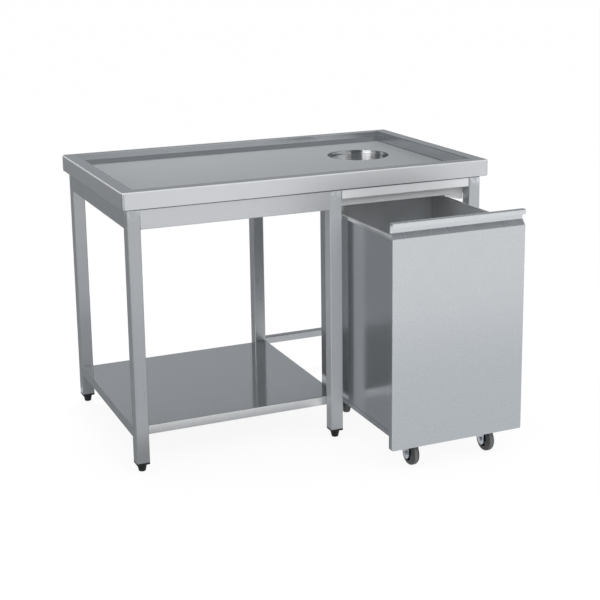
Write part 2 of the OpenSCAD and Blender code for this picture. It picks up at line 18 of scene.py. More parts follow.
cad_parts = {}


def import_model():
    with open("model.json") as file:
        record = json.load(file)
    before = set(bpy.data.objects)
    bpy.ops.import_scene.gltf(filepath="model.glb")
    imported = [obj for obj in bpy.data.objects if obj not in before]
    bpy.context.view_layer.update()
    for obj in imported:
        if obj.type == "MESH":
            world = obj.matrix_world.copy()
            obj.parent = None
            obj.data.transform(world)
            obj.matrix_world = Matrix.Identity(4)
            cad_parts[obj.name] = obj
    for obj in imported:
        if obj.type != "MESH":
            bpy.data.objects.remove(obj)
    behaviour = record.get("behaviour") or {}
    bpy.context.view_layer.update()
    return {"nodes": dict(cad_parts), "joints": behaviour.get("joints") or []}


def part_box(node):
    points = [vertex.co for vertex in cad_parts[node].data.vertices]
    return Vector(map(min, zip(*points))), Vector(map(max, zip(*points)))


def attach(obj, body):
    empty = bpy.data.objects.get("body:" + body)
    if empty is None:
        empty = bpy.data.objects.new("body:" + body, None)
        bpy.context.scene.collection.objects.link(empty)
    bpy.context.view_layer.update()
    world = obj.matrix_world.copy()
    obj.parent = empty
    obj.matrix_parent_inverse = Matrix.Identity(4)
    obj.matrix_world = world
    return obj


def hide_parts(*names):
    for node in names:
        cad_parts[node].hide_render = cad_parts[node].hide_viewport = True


log = logging.getLogger("dish_table")

Colour = tuple[float, float, float]
Outline = list[tuple[float, float]]
Piece = bpy.types.Object
EdgeTest = Callable[[bmesh.types.BMEdge], bool]
FaceTest = Callable[[bmesh.types.BMFace], bool]

MM = 0.001
NEAR = 2e-4  # places closer than this count as one
TOUCH = 1e-5  # points closer than this are merged
ALIGNED = 0.99  # the least cosine between two directions that count as one
SQUARE_ON = 0.95  # the least cosine between a flat's normal and the side that it looks to
FOLD_TURN = math.radians(20)  # the least turn that counts as a fold
SMOOTH_TURN = math.radians(38)  # the largest turn that is shaded smooth
EDGE_TURN = math.radians(40)  # the least turn that counts as an edge to break
NOISE_MIDDLE = 0.5  # the value that a noise swings about


class Side(Enum):
    """A side of a block, with the direction that it faces."""

    FRONT = (0, -1, 0)
    BACK = (0, 1, 0)
    LEFT = (-1, 0, 0)
    RIGHT = (1, 0, 0)
    TOP = (0, 0, 1)
    BOTTOM = (0, 0, -1)

    @property
    def way(self) -> Vector:
        """The side's outward direction."""
        return Vector(self.value)

    @property
    def opposite(self) -> Side:
        """The side across the block."""
        return Side(tuple(-v for v in self.value))


class Grain(Enum):
    """How a brushed finish runs over a piece: low numbers along the grain, high ones across it."""

    ALONG_X = (12.0, 1500.0, 1500.0)
    ALONG_Y = (1500.0, 12.0, 1500.0)
    ALONG_Z = (1500.0, 1500.0, 12.0)
    NONE = (420.0, 420.0, 420.0)

    @property
    def slow(self) -> tuple[float, ...]:
        """The stretch of the slow clouds that go with the grain."""
        return tuple(2.2 if v < 50 else 5.0 for v in self.value)


# ---- shader maths ----


class Socket:
    """A shader value that takes part in plain arithmetic; each operation adds its Math node."""

    def __init__(self, graph: Graph, output: bpy.types.NodeSocket) -> None:
        """Keeps a node's output socket and the graph that it belongs to."""
        self.graph = graph
        self.output = output

    def _maths(self, operation: str, first: Socket | float, second: Socket | float) -> Socket:
        """The result of a Math node on two values."""
        return self.graph.node("ShaderNodeMath", {"operation": operation}, {0: first, 1: second})

    def __add__(self, other: Socket | float) -> Socket:
        """self + other."""
        return self._maths("ADD", self, other)

    __radd__ = __add__

    def __sub__(self, other: Socket | float) -> Socket:
        """self - other."""
        return self._maths("SUBTRACT", self, other)

    def __rsub__(self, other: Socket | float) -> Socket:
        """other - self."""
        return self._maths("SUBTRACT", other, self)

    def __mul__(self, other: Socket | float) -> Socket:
        """self * other."""
        return self._maths("MULTIPLY", self, other)

    __rmul__ = __mul__

    def clamped(self) -> Socket:
        """The value held between 0 and 1."""
        return self.graph.node("ShaderNodeClamp", {}, {"Value": self})

    def swing(self, by: float) -> Socket:
        """How far a noise is from its middle, times a factor."""
        return (self - NOISE_MIDDLE) * by


class Graph:
    """The node tree of a material or of the world."""

    def __init__(self, tree: bpy.types.NodeTree) -> None:
        """Empties the tree that it builds in."""
        self.tree = tree
        tree.nodes.clear()

    def node(self, kind: str, settings: dict | None = None, inputs: dict | None = None,
             output: int | str = 0) -> Socket:
        """Adds any node.

        Args:
            kind: the node's type.
            settings: properties set first; "stops" holds a ramp's (position, grey) pairs.
            inputs: values or sockets by input name or number.
            output: which output to return.

        Returns:
            The chosen output.
        """
        made = self.tree.nodes.new(kind)
        for name, value in (settings or {}).items():
            if name == "stops":
                self._set_stops(made.color_ramp, value)
            else:
                setattr(made, name, value)
        for name, value in (inputs or {}).items():
            if isinstance(value, Socket):
                self.tree.links.new(value.output, made.inputs[name])
            else:
                made.inputs[name].default_value = value
        return Socket(self, made.outputs[output])

    @staticmethod
    def _set_stops(ramp: bpy.types.ColorRamp, stops: Sequence[tuple[float, float]]) -> None:
        """Sets a ramp's stops.

        Args:
            ramp: the ramp.
            stops: (position, grey) pairs.
        """
        while len(ramp.elements) < len(stops):
            ramp.elements.new(1.0)
        for element, (position, grey) in zip(ramp.elements, stops):
            element.position = position
            element.color = (grey, grey, grey, 1)

    def object_place(self) -> Socket:
        """The shaded point in the piece's own coordinates."""
        return self.node("ShaderNodeTexCoord", {}, {}, "Object")

    def noise(self, place: Socket, scale: float | Sequence[float], detail: float) -> Socket:
        """A noise value.

        Args:
            place: the coordinates.
            scale: how fine the noise is, as one number or one for each axis.
            detail: its octaves.

        Returns:
            The noise, about 0.5 in the middle.
        """
        by_axis = (scale,) * 3 if isinstance(scale, float) else tuple(scale)
        at = self.node("ShaderNodeMapping", {"vector_type": "POINT"},
                       {"Vector": place, "Scale": by_axis})
        return self.node("ShaderNodeTexNoise", {}, {"Vector": at, "Scale": 1.0, "Detail": detail})

    def cells(self, place: Socket, scale: float) -> Socket:
        """The distance to the nearest point of a cell pattern."""
        return self.node("ShaderNodeTexVoronoi", {}, {"Vector": place, "Scale": scale}, "Distance")

    def blend(self, factor: Socket | float, first: Socket | Colour,
              second: Socket | Colour) -> Socket:
        """A colour between two others, for a factor from 0 to 1."""
        ends = [c if isinstance(c, Socket) else (*c, 1) for c in (first, second)]
        return self.node("ShaderNodeMix", {"data_type": "RGBA"},
                         {"Factor": factor, "A": ends[0], "B": ends[1]}, 2)

    def bump(self, height: Socket, strength: float, distance: float) -> Socket:
        """A bumped normal; distance is the height of the pattern's full step, in metres."""
        return self.node("ShaderNodeBump", {},
                         {"Height": height, "Strength": strength, "Distance": distance})

    def surface(self, inputs: dict) -> None:
        """Ends the tree in a Principled BSDF with these values or sockets by name."""
        self.end(self.node("ShaderNodeBsdfPrincipled", {}, inputs))

    def end(self, shader: Socket, kind: str = "ShaderNodeOutputMaterial") -> None:
        """Ends the tree in a shader."""
        self.tree.links.new(shader.output, self.tree.nodes.new(kind).inputs["Surface"])


def new_material(name: str) -> tuple[bpy.types.Material, Graph]:
    """Adds a material.

    Args:
        name: its name.

    Returns:
        The material and its empty graph.
    """
    made = bpy.data.materials.new(name)
    made.use_nodes = True
    return made, Graph(made.node_tree)


def scaled(colour: Colour, factor: float) -> Colour:
    """A colour made lighter or darker by a factor."""
    return tuple(min(c * factor, 1.0) for c in colour)


# ---- finishes ----


@dataclass(frozen=True)
class Finish:
    """What every finish has: its name, its colour, its roughness and the record's slot."""

    name: str
    colour: Colour
    roughness: float
    slot: str

    def material(self) -> bpy.types.Material:
        """Makes the Blender material, the first time that it is asked for.

        Returns:
            The material.
        """
        made = bpy.data.materials.get(self.name)
        if not made:
            made, graph = new_material(self.name)
            made.diffuse_color = (*self.colour, 1)
            self.paint(graph)
        return made

    def paint(self, graph: Graph) -> None:
        """Builds the nodes in the material's empty graph."""
        raise NotImplementedError

    def gloss(self, noise: Socket, by: float, more: Socket | float = 0.0) -> Socket:
        """The finish's roughness, moved up and down by a noise, and by more if it is given."""
        return (noise.swing(by) + more + self.roughness).clamped()


@dataclass(frozen=True)
class BrushedSteel(Finish):
    """Stainless sheet or tube: brush lines, soft clouds in its tone, faint handling marks."""

    slot: str = "sheet"
    grain: Grain = Grain.ALONG_X
    lines: float = 0.08
    clouds: float = 0.06
    metal: float = 0.85
    marks: float = 0.08

    def paint(self, graph: Graph) -> None:
        """Lines stretched along the grain, over slow changes of tone and gloss.

        Args:
            graph: the material's empty graph.
        """
        place = graph.object_place()
        lines = graph.noise(place, self.grain.value, 3.0)
        clouds = graph.noise(place, self.grain.slow, 2.0)
        marks = graph.noise(place, 26.0, 4.0)
        tone = (lines.swing(4 * self.lines) + clouds.swing(8 * self.clouds) + 0.5).clamped()
        graph.surface({
            "Base Color": self.tones(graph, tone, place),
            "Metallic": self.metal,
            "Roughness": self.gloss(lines, 1.2 * self.lines, marks.swing(self.marks)),
            "Normal": graph.bump(lines, 0.1, 0.02 * MM),
        })

    def tones(self, graph: Graph, tone: Socket, place: Socket) -> Socket:
        """The colour at a place, for a tone from 0, the darker one, to 1, the lighter one."""
        return graph.blend(tone, scaled(self.colour, 1 - self.clouds),
                           scaled(self.colour, 1 + self.clouds))


@dataclass(frozen=True)
class LegSteel(BrushedSteel):
    """Brushed tube whose upper end is blotched and brighter, where the weld has been dressed."""

    dressed_from: float = 0.765
    dressed_over: float = 0.02
    dressed: float = 1.45

    def tones(self, graph: Graph, tone: Socket, place: Socket) -> Socket:
        """The brushed tones, blended into a bright blotched zone at the top.

        Args:
            graph: the material's graph.
            tone: 0 for the darker tone, 1 for the lighter one.
            place: the shaded point.

        Returns:
            The colour.
        """
        height = graph.node("ShaderNodeSeparateXYZ", {}, {0: place}, 2)
        zone = ((height - self.dressed_from) * (1 / self.dressed_over)).clamped()
        blotches = ((graph.noise(place, (70.0, 70.0, 55.0), 3.0) - 0.42) * 5).clamped()
        return graph.blend(zone * blotches, super().tones(graph, tone, place),
                           scaled(self.colour, self.dressed))


@dataclass(frozen=True)
class SpunSteel(Finish):
    """Polished steel with the rings that spinning leaves round an upright axis."""

    centre: tuple[float, float] = (0.0, 0.0)
    spread: float = 1.0

    def paint(self, graph: Graph) -> None:
        """Rings that depend on height and radius only, and a slow change round the axis.

        Args:
            graph: the material's empty graph.
        """
        place = graph.object_place()
        moved = graph.node("ShaderNodeMapping", {"vector_type": "POINT"},
                           {"Vector": place, "Location": (-self.centre[0], -self.centre[1], 0.0)})
        x, y, z = (graph.node("ShaderNodeSeparateXYZ", {}, {0: moved}, i) for i in range(3))
        radius = graph.node("ShaderNodeMath", {"operation": "SQRT"}, {0: x * x + y * y})
        across = graph.node("ShaderNodeCombineXYZ", {}, {"X": radius, "Y": z})
        rings = graph.noise(across, 900.0, 3.0)
        clouds = graph.noise(place, (9.0, 9.0, 4.0), 2.0)
        tone = (rings.swing(0.8) + clouds.swing(0.6) + 0.5).clamped()
        graph.surface({
            "Base Color": graph.blend(tone, scaled(self.colour, 0.9), scaled(self.colour, 1.08)),
            "Metallic": 1.0,
            "Roughness": self.gloss(rings, 0.1),
            "Anisotropic": self.spread,
            "Anisotropic Rotation": 0.25,
            "Normal": graph.bump(rings, 0.2, 0.02 * MM),
        })


@dataclass(frozen=True)
class ZincPlate(Finish):
    """Bright zinc plate on pressed steel, with a fine spangle and a bluish cast."""

    def paint(self, graph: Graph) -> None:
        """A cell pattern for the spangle and a noise for dull patches.

        Args:
            graph: the material's empty graph.
        """
        place = graph.object_place()
        dull = graph.noise(place, 60.0, 3.0)
        tone = (graph.cells(place, 320.0) * 0.5 + dull * 0.6).clamped()
        graph.surface({
            "Base Color": graph.blend(tone, scaled(self.colour, 0.82), scaled(self.colour, 1.1)),
            "Metallic": 1.0,
            "Roughness": self.gloss(dull, 0.3),
            "Normal": graph.bump(dull, 0.15, 0.1 * MM),
        })


@dataclass(frozen=True)
class MouldedPlastic(Finish):
    """Black moulded plastic with a fine eroded texture and scuffs that are a little lighter."""

    scuff: float = 0.02

    def paint(self, graph: Graph) -> None:
        """A fine texture in the bump, and broad scuffs in colour and gloss.

        Args:
            graph: the material's empty graph.
        """
        place = graph.object_place()
        fine = graph.noise(place, 1500.0, 2.0)
        scuffs = graph.noise(place, (90.0, 90.0, 40.0), 4.0)
        worn = tuple(c + self.scuff for c in self.colour)
        graph.surface({
            "Base Color": graph.blend(((scuffs - 0.45) * 3).clamped(), self.colour, worn),
            "Roughness": self.gloss(scuffs, 0.25),
            "Normal": graph.bump(fine, 0.3, 0.1 * MM),
        })


@dataclass(frozen=True)
class GreyRubber(Finish):
    """Tyre rubber, paler where the tread has rolled and dusty in patches."""

    dust: Colour = (0.2, 0.2, 0.195)

    def paint(self, graph: Graph) -> None:
        """Dust patches over a matt rubber.

        Args:
            graph: the material's empty graph.
        """
        place = graph.object_place()
        dusty = graph.noise(place, 110.0, 4.0)
        fine = graph.noise(place, 900.0, 2.0)
        graph.surface({
            "Base Color": graph.blend(((dusty - 0.35) * 1.6).clamped(), self.colour, self.dust),
            "Roughness": self.gloss(dusty, 0.2),
            "Normal": graph.bump(fine, 0.3, 0.2 * MM),
        })


@dataclass(frozen=True)
class SealedBoard(Finish):
    """Sealed chipboard under the worktop: pale flakes in a brown ground."""

    def paint(self, graph: Graph) -> None:
        """Flakes from a cell pattern, with a slow stain.

        Args:
            graph: the material's empty graph.
        """
        place = graph.object_place()
        flakes = graph.cells(place, 140.0)
        stain = graph.noise(place, 6.0, 3.0)
        graph.surface({
            "Base Color": graph.blend((flakes * 0.8 + (stain - 0.4) * 0.6).clamped(),
                                      scaled(self.colour, 0.7), self.colour),
            "Roughness": self.gloss(stain, 0.2),
            "Normal": graph.bump(flakes, 0.2, 0.3 * MM),
        })


# each: name, colour, roughness, then what differs from its class
STEEL: Colour = (0.56, 0.58, 0.6)
TUBE_STEEL: Colour = (0.44, 0.46, 0.48)
WORKTOP = BrushedSteel("worktop_steel", STEEL, 0.2, lines=0.06, clouds=0.05, metal=0.93)
# The tray floor: a darker, more matt copy of the worktop's steel on the same sheet, painted shade.
TRAY_PAINTED_SHADE = BrushedSteel("tray_painted_shade_steel", (0.375, 0.391, 0.404), 0.42, lines=0.06, clouds=0.05, metal=0.35)
# The rounded top front and left edges: a much lighter, matt copy of the steel, a painted highlight.
EDGE_PAINTED_HIGHLIGHT = BrushedSteel("edge_painted_highlight_steel", (0.74, 0.75, 0.765), 0.5, lines=0.04,
                            clouds=0.05, metal=0.2)
# The crossmember and the keeper, which sit in the shade under the bay rail: a near-white, almost
# non-metal copy of the steel, painted light.
CROSS_SHEET_PAINTED_LIGHT = BrushedSteel("cross_sheet_painted_light_steel", (0.95, 0.955, 0.965), 0.5, lines=0.05, clouds=0.06,
                           metal=0.02)
# The front and back skirt faces: a lighter copy of the worktop's steel, painted light.
SKIRT_PAINTED_LIGHT = BrushedSteel("skirt_steel", (0.645, 0.655, 0.675), 0.4, lines=0.05, clouds=0.04, metal=0.55)
SIDE_SKIRT = BrushedSteel("side_skirt_steel", (0.6, 0.615, 0.635), 0.3, grain=Grain.ALONG_Y,
                          lines=0.06, clouds=0.08, metal=0.8)
LONG_SHEET = BrushedSteel("long_sheet_steel", (0.58, 0.59, 0.61), 0.4, lines=0.05, clouds=0.05,
                          metal=0.55)
# The bay rail over the bin: a lighter, mostly matt copy of the steel, painted light.
BAY_SHEET_PAINTED_LIGHT = BrushedSteel("bay_sheet_painted_light_steel", (0.86, 0.87, 0.89), 0.5, lines=0.05, clouds=0.06,
                         metal=0.3)
# The shelf's front flange: a lighter copy of the shelf steel, painted light.
SHELF_EDGE_PAINTED_LIGHT = BrushedSteel("shelf_edge_painted_light_steel", (0.74, 0.75, 0.76), 0.25, lines=0.04, clouds=0.04)
DEEP_SHEET = BrushedSteel("deep_sheet_steel", STEEL, 0.3, grain=Grain.ALONG_Y)
SHELF = BrushedSteel("shelf_steel", (0.54, 0.56, 0.58), 0.1, lines=0.04, clouds=0.04)
LEG_TUBE = LegSteel("leg_tube_steel", scaled(TUBE_STEEL, 1.06), 0.3, "tube", Grain.ALONG_Z,
                    lines=0.07, clouds=0.09, metal=0.7)
# The front left leg: a darker copy of the leg steel, painted shade.
LEFT_LEG_PAINTED_SHADE = LegSteel("left_leg_painted_shade_steel", scaled(TUBE_STEEL, 0.92), 0.3, "tube",
                         Grain.ALONG_Z, lines=0.07, clouds=0.1, metal=0.6)
# The front middle leg, which the bin shades: a lighter, mostly matt copy of the leg steel, painted
# light.
MID_LEG_PAINTED_LIGHT = LegSteel("mid_leg_painted_light_steel", scaled(TUBE_STEEL, 1.12), 0.4, "tube", Grain.ALONG_Z,
                        lines=0.07, clouds=0.09, metal=0.25)
LONG_TUBE = BrushedSteel("long_tube_steel", TUBE_STEEL, 0.24, "tube")
DEEP_TUBE = BrushedSteel("deep_tube_steel", TUBE_STEEL, 0.24, "tube", Grain.ALONG_Y)
BIN_WALL = BrushedSteel("bin_wall_steel", (0.53, 0.55, 0.575), 0.16, "bin_sheet", Grain.ALONG_Z,
                        lines=0.04)
# The bin's inner faces: a lighter, more matt copy of the wall steel that lifts the shade inside the
# bin, painted light; its strong clouds vary the tone at random.
BIN_INSIDE_PAINTED_LIGHT = BrushedSteel("bin_inside_painted_light_steel", (0.64, 0.66, 0.68), 0.5, "bin_sheet", Grain.NONE,
                          lines=0.1, clouds=0.22, metal=0.6)
# The rim and its lip: a much lighter copy of the wall steel with large clouds, a painted highlight
# along the rim.
BIN_RIM_PAINTED_HIGHLIGHT = BrushedSteel("bin_rim_painted_highlight_steel", (0.8, 0.82, 0.84), 0.2, "bin_sheet", Grain.NONE, lines=0.1,
                       clouds=0.3, metal=0.8)
PANEL = BrushedSteel("panel_steel", STEEL, 0.28, grain=Grain.ALONG_Z, lines=0.03, clouds=0.03,
                     metal=0.8)
# The grip's front faces: a lighter copy of the panel steel, painted light.
GRIP_PAINTED_LIGHT = BrushedSteel("grip_painted_light_steel", scaled(STEEL, 1.14), 0.28, lines=0.03, clouds=0.03, metal=0.8)
# A near-black bead under the worktop's edge: painted shadow for the line of shade there.
SHADOW_BEAD = MouldedPlastic("painted_shadow_bead", (0.05, 0.052, 0.055), 0.6, "black_plastic")
ZINC = ZincPlate("zinc_plate", (0.42, 0.45, 0.49), 0.34, "zinc")
PLUG_PLASTIC = MouldedPlastic("plug_plastic", (0.012, 0.013, 0.015), 0.5, "black_plastic")
HUB_PLASTIC = MouldedPlastic("hub_plastic", (0.02, 0.021, 0.023), 0.45, "black_plastic")
TYRE = GreyRubber("tyre_rubber", (0.025, 0.027, 0.03), 0.6, "tyre", (0.08, 0.082, 0.084))
TREAD = GreyRubber("worn_tread_rubber", (0.15, 0.155, 0.16), 0.7, "tyre")
BOARD = SealedBoard("sealed_board", (0.45, 0.36, 0.26), 0.7, "board")


# ---- bench tools ----


def clear_selection() -> None:
    """Leaves edit mode and deselects every object."""
    if bpy.context.mode != "OBJECT":
        bpy.ops.object.mode_set(mode="OBJECT")
    bpy.ops.object.select_all(action="DESELECT")


def apply_place() -> None:
    """Moves the active object's place, turn and size into its mesh."""
    bpy.ops.object.transform_apply(location=True, rotation=True, scale=True)


def turn_to(thing: Piece, way: Vector) -> None:
    """Turns an object's Z axis to a direction."""
    thing.rotation_mode = "QUATERNION"
    thing.rotation_quaternion = way.to_track_quat("Z", "Y")


def middle(item: bmesh.types.BMEdge | bmesh.types.BMFace) -> Vector:
    """The middle of an edge or a face."""
    return sum((v.co for v in item.verts), Vector()) / len(item.verts)


def lies(item: bmesh.types.BMEdge | bmesh.types.BMFace, **place: float) -> bool:
    """Whether the middle of an edge or a face is at these coordinates, given as y= or z=."""
    spot = middle(item)
    return all(abs(getattr(spot, axis) - value) < NEAR for axis, value in place.items())


def looks(face: bmesh.types.BMFace, side: Side, least: float = ALIGNED) -> bool:
    """Whether a face looks to a side, by the least cosine that counts."""
    return face.normal.dot(side.way) > least


def runs_along(edge: bmesh.types.BMEdge, way: Vector) -> bool:
    """Whether an edge runs along a direction, either way round."""
    step = edge.verts[1].co - edge.verts[0].co
    return step.length > 0 and abs(step.normalized().dot(way)) > ALIGNED


def folds(edge: bmesh.types.BMEdge) -> bool:
    """Whether the sheet turns clearly at an edge."""
    return len(edge.link_faces) == 2 and edge.calc_face_angle(0.0) > FOLD_TURN


def closed(lower: Outline) -> Outline:
    """A closed outline from its lower half, mirrored about height 0."""
    return lower + [(radius, -height) for radius, height in reversed(lower)] + lower[:1]


class Bench:
    """One mesh on the bench, shaped in edit mode by faces and edges that are picked by place."""

    def __init__(self, name: str) -> None:
        """Takes the active object into edit mode.

        Args:
            name: the piece's name.
        """
        self.piece: Piece = bpy.context.active_object
        self.piece.name = self.piece.data.name = name
        apply_place()
        bpy.ops.object.mode_set(mode="EDIT")
        bpy.ops.mesh.select_all(action="DESELECT")

    @classmethod
    def block(cls, name: str, low: Vector, high: Vector) -> Bench:
        """Starts from a block between two corners.

        Args:
            name: the piece's name.
            low: its lowest corner.
            high: its highest corner.

        Returns:
            The bench with the block on it.
        """
        clear_selection()
        bpy.ops.mesh.primitive_cube_add(size=1, location=(low + high) / 2)
        bpy.context.active_object.scale = high - low
        return cls(name)

    @classmethod
    def rings(cls, name: str, outline: Sequence[tuple[float, float]], sides: int) -> Bench:
        """Starts from a circle and draws it along an outline about the Z axis, ring by ring.

        Args:
            name: the piece's name.
            outline: (radius, height) pairs.
            sides: how many sides a ring has.

        Returns:
            The bench with the turned shell on it, its last ring selected.
        """
        clear_selection()
        radius, height = outline[0]
        bpy.ops.mesh.primitive_circle_add(vertices=sides, radius=radius, location=(0, 0, height))
        bench = cls(name)
        bpy.ops.mesh.select_mode(type="EDGE")
        bpy.ops.mesh.select_all(action="SELECT")
        for next_radius, next_height in outline[1:]:
            bpy.ops.mesh.extrude_edges_move(
                TRANSFORM_OT_translate={"value": (0, 0, next_height - height)})
            factor = next_radius / radius
            bpy.ops.transform.resize(value=(factor, factor, 1), center_override=(0, 0, next_height))
            radius, height = next_radius, next_height
        return bench

    @classmethod
    def turned(cls, name: str, outline: Outline, sides: int, place: Matrix) -> Bench:
        """Turns a closed outline about the Z axis and sets the ring in its place.

        Args:
            name: the piece's name.
            outline: (radius, height) pairs, the last one the same as the first.
            sides: how many sides a ring has.
            place: from the outline's frame to the table's.

        Returns:
            The bench with the solid ring on it.
        """
        bench = cls.rings(name, outline, sides)
        bench.weld()
        bench.place(place)
        return bench

    def pick_edges(self, test: EdgeTest) -> int:
        """Selects the edges that pass a test and nothing else, and counts them."""
        return self._pick("EDGE", test)

    def pick_faces(self, test: FaceTest) -> int:
        """Selects the faces that pass a test and nothing else, and counts them."""
        return self._pick("FACE", test)

    def _pick(self, kind: str, test: Callable) -> int:
        """Selects edges or faces.

        Args:
            kind: EDGE or FACE.
            test: takes an edge or a face.

        Returns:
            How many were selected.
        """
        bpy.ops.mesh.select_mode(type=kind)
        bpy.ops.mesh.select_all(action="DESELECT")
        mesh = bmesh.from_edit_mesh(self.piece.data)
        mesh.normal_update()
        found = [i for i in (mesh.edges if kind == "EDGE" else mesh.faces) if test(i)]
        for item in found:
            item.select_set(True)
        bmesh.update_edit_mesh(self.piece.data)
        if not found:
            log.warning("%s: nothing picked", self.piece.name)
        return len(found)

    def open_sides(self, *sides: Side) -> None:
        """Deletes the block's faces on these sides."""
        self.pick_faces(lambda f: any(looks(f, side) for side in sides))
        bpy.ops.mesh.delete(type="FACE")

    def bend(self, radius: float, segments: int, test: EdgeTest) -> None:
        """Rounds the picked folds.

        Args:
            radius: the outer bend radius.
            segments: faces across a bend.
            test: picks the edges.
        """
        if self.pick_edges(test):
            bpy.ops.mesh.bevel(offset=radius, offset_type="OFFSET", segments=segments, profile=0.5,
                               affect="EDGES", clamp_overlap=True, harden_normals=False)

    def extrude(self, step: Vector, test: EdgeTest | None = None) -> None:
        """Draws edges out into a new strip of sheet.

        Args:
            step: how far and which way.
            test: picks the edges; without it, the selected ones are drawn.
        """
        if test:
            self.pick_edges(test)
        bpy.ops.mesh.extrude_edges_move(TRANSFORM_OT_translate={"value": step})

    def level_return(self, width: float, height: float, low: Vector, high: Vector) -> None:
        """Draws the open edges at a height inwards, all round, into a level strip.

        Args:
            width: the strip's width; a negative one draws it outwards.
            height: the edges' height.
            low: the block's lowest corner.
            high: the block's highest corner.
        """
        size, centre = high - low, (low + high) / 2
        self.extrude(Vector(), lambda e: e.is_boundary and lies(e, z=height))
        bpy.ops.transform.resize(value=(1 - 2 * width / size.x, 1 - 2 * width / size.y, 1),
                                 center_override=(centre.x, centre.y, height))

    def weld(self) -> None:
        """Merges points that lie on each other and turns every face outwards."""
        bpy.ops.mesh.select_all(action="SELECT")
        bpy.ops.mesh.remove_doubles(threshold=TOUCH)
        bpy.ops.mesh.normals_make_consistent(inside=False)

    def thicken(self, sheet: float) -> None:
        """Gives the folded shell the sheet's thickness, inwards."""
        self._modify("SOLIDIFY", thickness=sheet, offset=-1, use_even_offset=True)

    def round_edges(self, width: float, segments: int) -> None:
        """Breaks every sharp edge of a solid piece, to a width and a number of faces."""
        self._modify("BEVEL", width=width, segments=segments, limit_method="ANGLE",
                     angle_limit=EDGE_TURN, use_clamp_overlap=True)

    def place(self, matrix: Matrix) -> None:
        """Moves a piece made about the origin to its place, and applies that.

        Args:
            matrix: from the piece's frame to the table's.
        """
        self._take_up()
        self.piece.matrix_world = matrix
        apply_place()

    def _take_up(self) -> None:
        """Leaves edit mode, selects the piece alone and makes it active."""
        clear_selection()
        self.piece.select_set(True)
        bpy.context.view_layer.objects.active = self.piece

    def _modify(self, kind: str, **settings: object) -> None:
        """Adds a modifier and applies it.

        Args:
            kind: the modifier's type.
            settings: its properties.
        """
        self._take_up()
        modifier = self.piece.modifiers.new(kind.lower(), kind)
        for name, value in settings.items():
            setattr(modifier, name, value)
        bpy.ops.object.modifier_apply(modifier=modifier.name)

    def repaint(self, finish: Finish, test: FaceTest) -> None:
        """Gives some faces of a finished piece another finish.

        Args:
            finish: their finish.
            test: picks the faces.
        """
        self._take_up()
        self.piece.data.materials.append(finish.material())
        bpy.ops.object.mode_set(mode="EDIT")
        if self.pick_faces(test):
            self.piece.active_material_index = len(self.piece.data.materials) - 1
            bpy.ops.object.material_slot_assign()
        clear_selection()

    def cut(self, spot: Vector, way: Vector) -> None:
        """Cuts the shell at a plane through a spot and drops what lies beyond it, along way."""
        bpy.ops.mesh.select_all(action="SELECT")
        bpy.ops.mesh.bisect(plane_co=tuple(spot), plane_no=tuple(way), clear_outer=True)

    def bore(self, spot: Vector, radius: float, length: float) -> None:
        """Drills an upright round hole through a solid piece.

        Args:
            spot: the drill's middle.
            radius: the hole's radius.
            length: the drill's length.
        """
        clear_selection()
        bpy.ops.mesh.primitive_cylinder_add(vertices=48, radius=radius, depth=length, location=spot)
        drill = bpy.context.active_object
        self._modify("BOOLEAN", operation="DIFFERENCE", solver="EXACT", object=drill)
        bpy.data.objects.remove(drill)

    def finish(self, finish: Finish, body: str, *stands_for: str) -> None:
        """Shades, paints, mounts and reports the piece.

        Args:
            finish: its finish.
            body: the body that it rides on.
            stands_for: the CAD nodes that it replaces.
        """
        self._take_up()
        bpy.ops.object.shade_smooth_by_angle(angle=SMOOTH_TURN)
        self._modify("WEIGHTED_NORMAL", keep_sharp=True)
        self.piece.data.materials.clear()
        self.piece.data.materials.append(finish.material())
        if stands_for:
            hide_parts(*stands_for)
        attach(self.piece, body)
        log.info("%s: %d faces on %s", self.piece.name, len(self.piece.data.polygons), body)


def dress(nodes: dict[str, Piece], finish: Finish, *names: str) -> None:
    """Gives CAD nodes that stay a finish.

    Args:
        nodes: the frame's nodes.
        finish: the finish.
        names: the nodes' names.
    """
    for name in names:
        data = nodes[name].data
        if not data.materials:
            data.materials.append(None)
        for index in range(len(data.materials)):
            data.materials[index] = finish.material()
        log.info("%s keeps its shape, in %s", name, finish.name)


# ---- the table ----


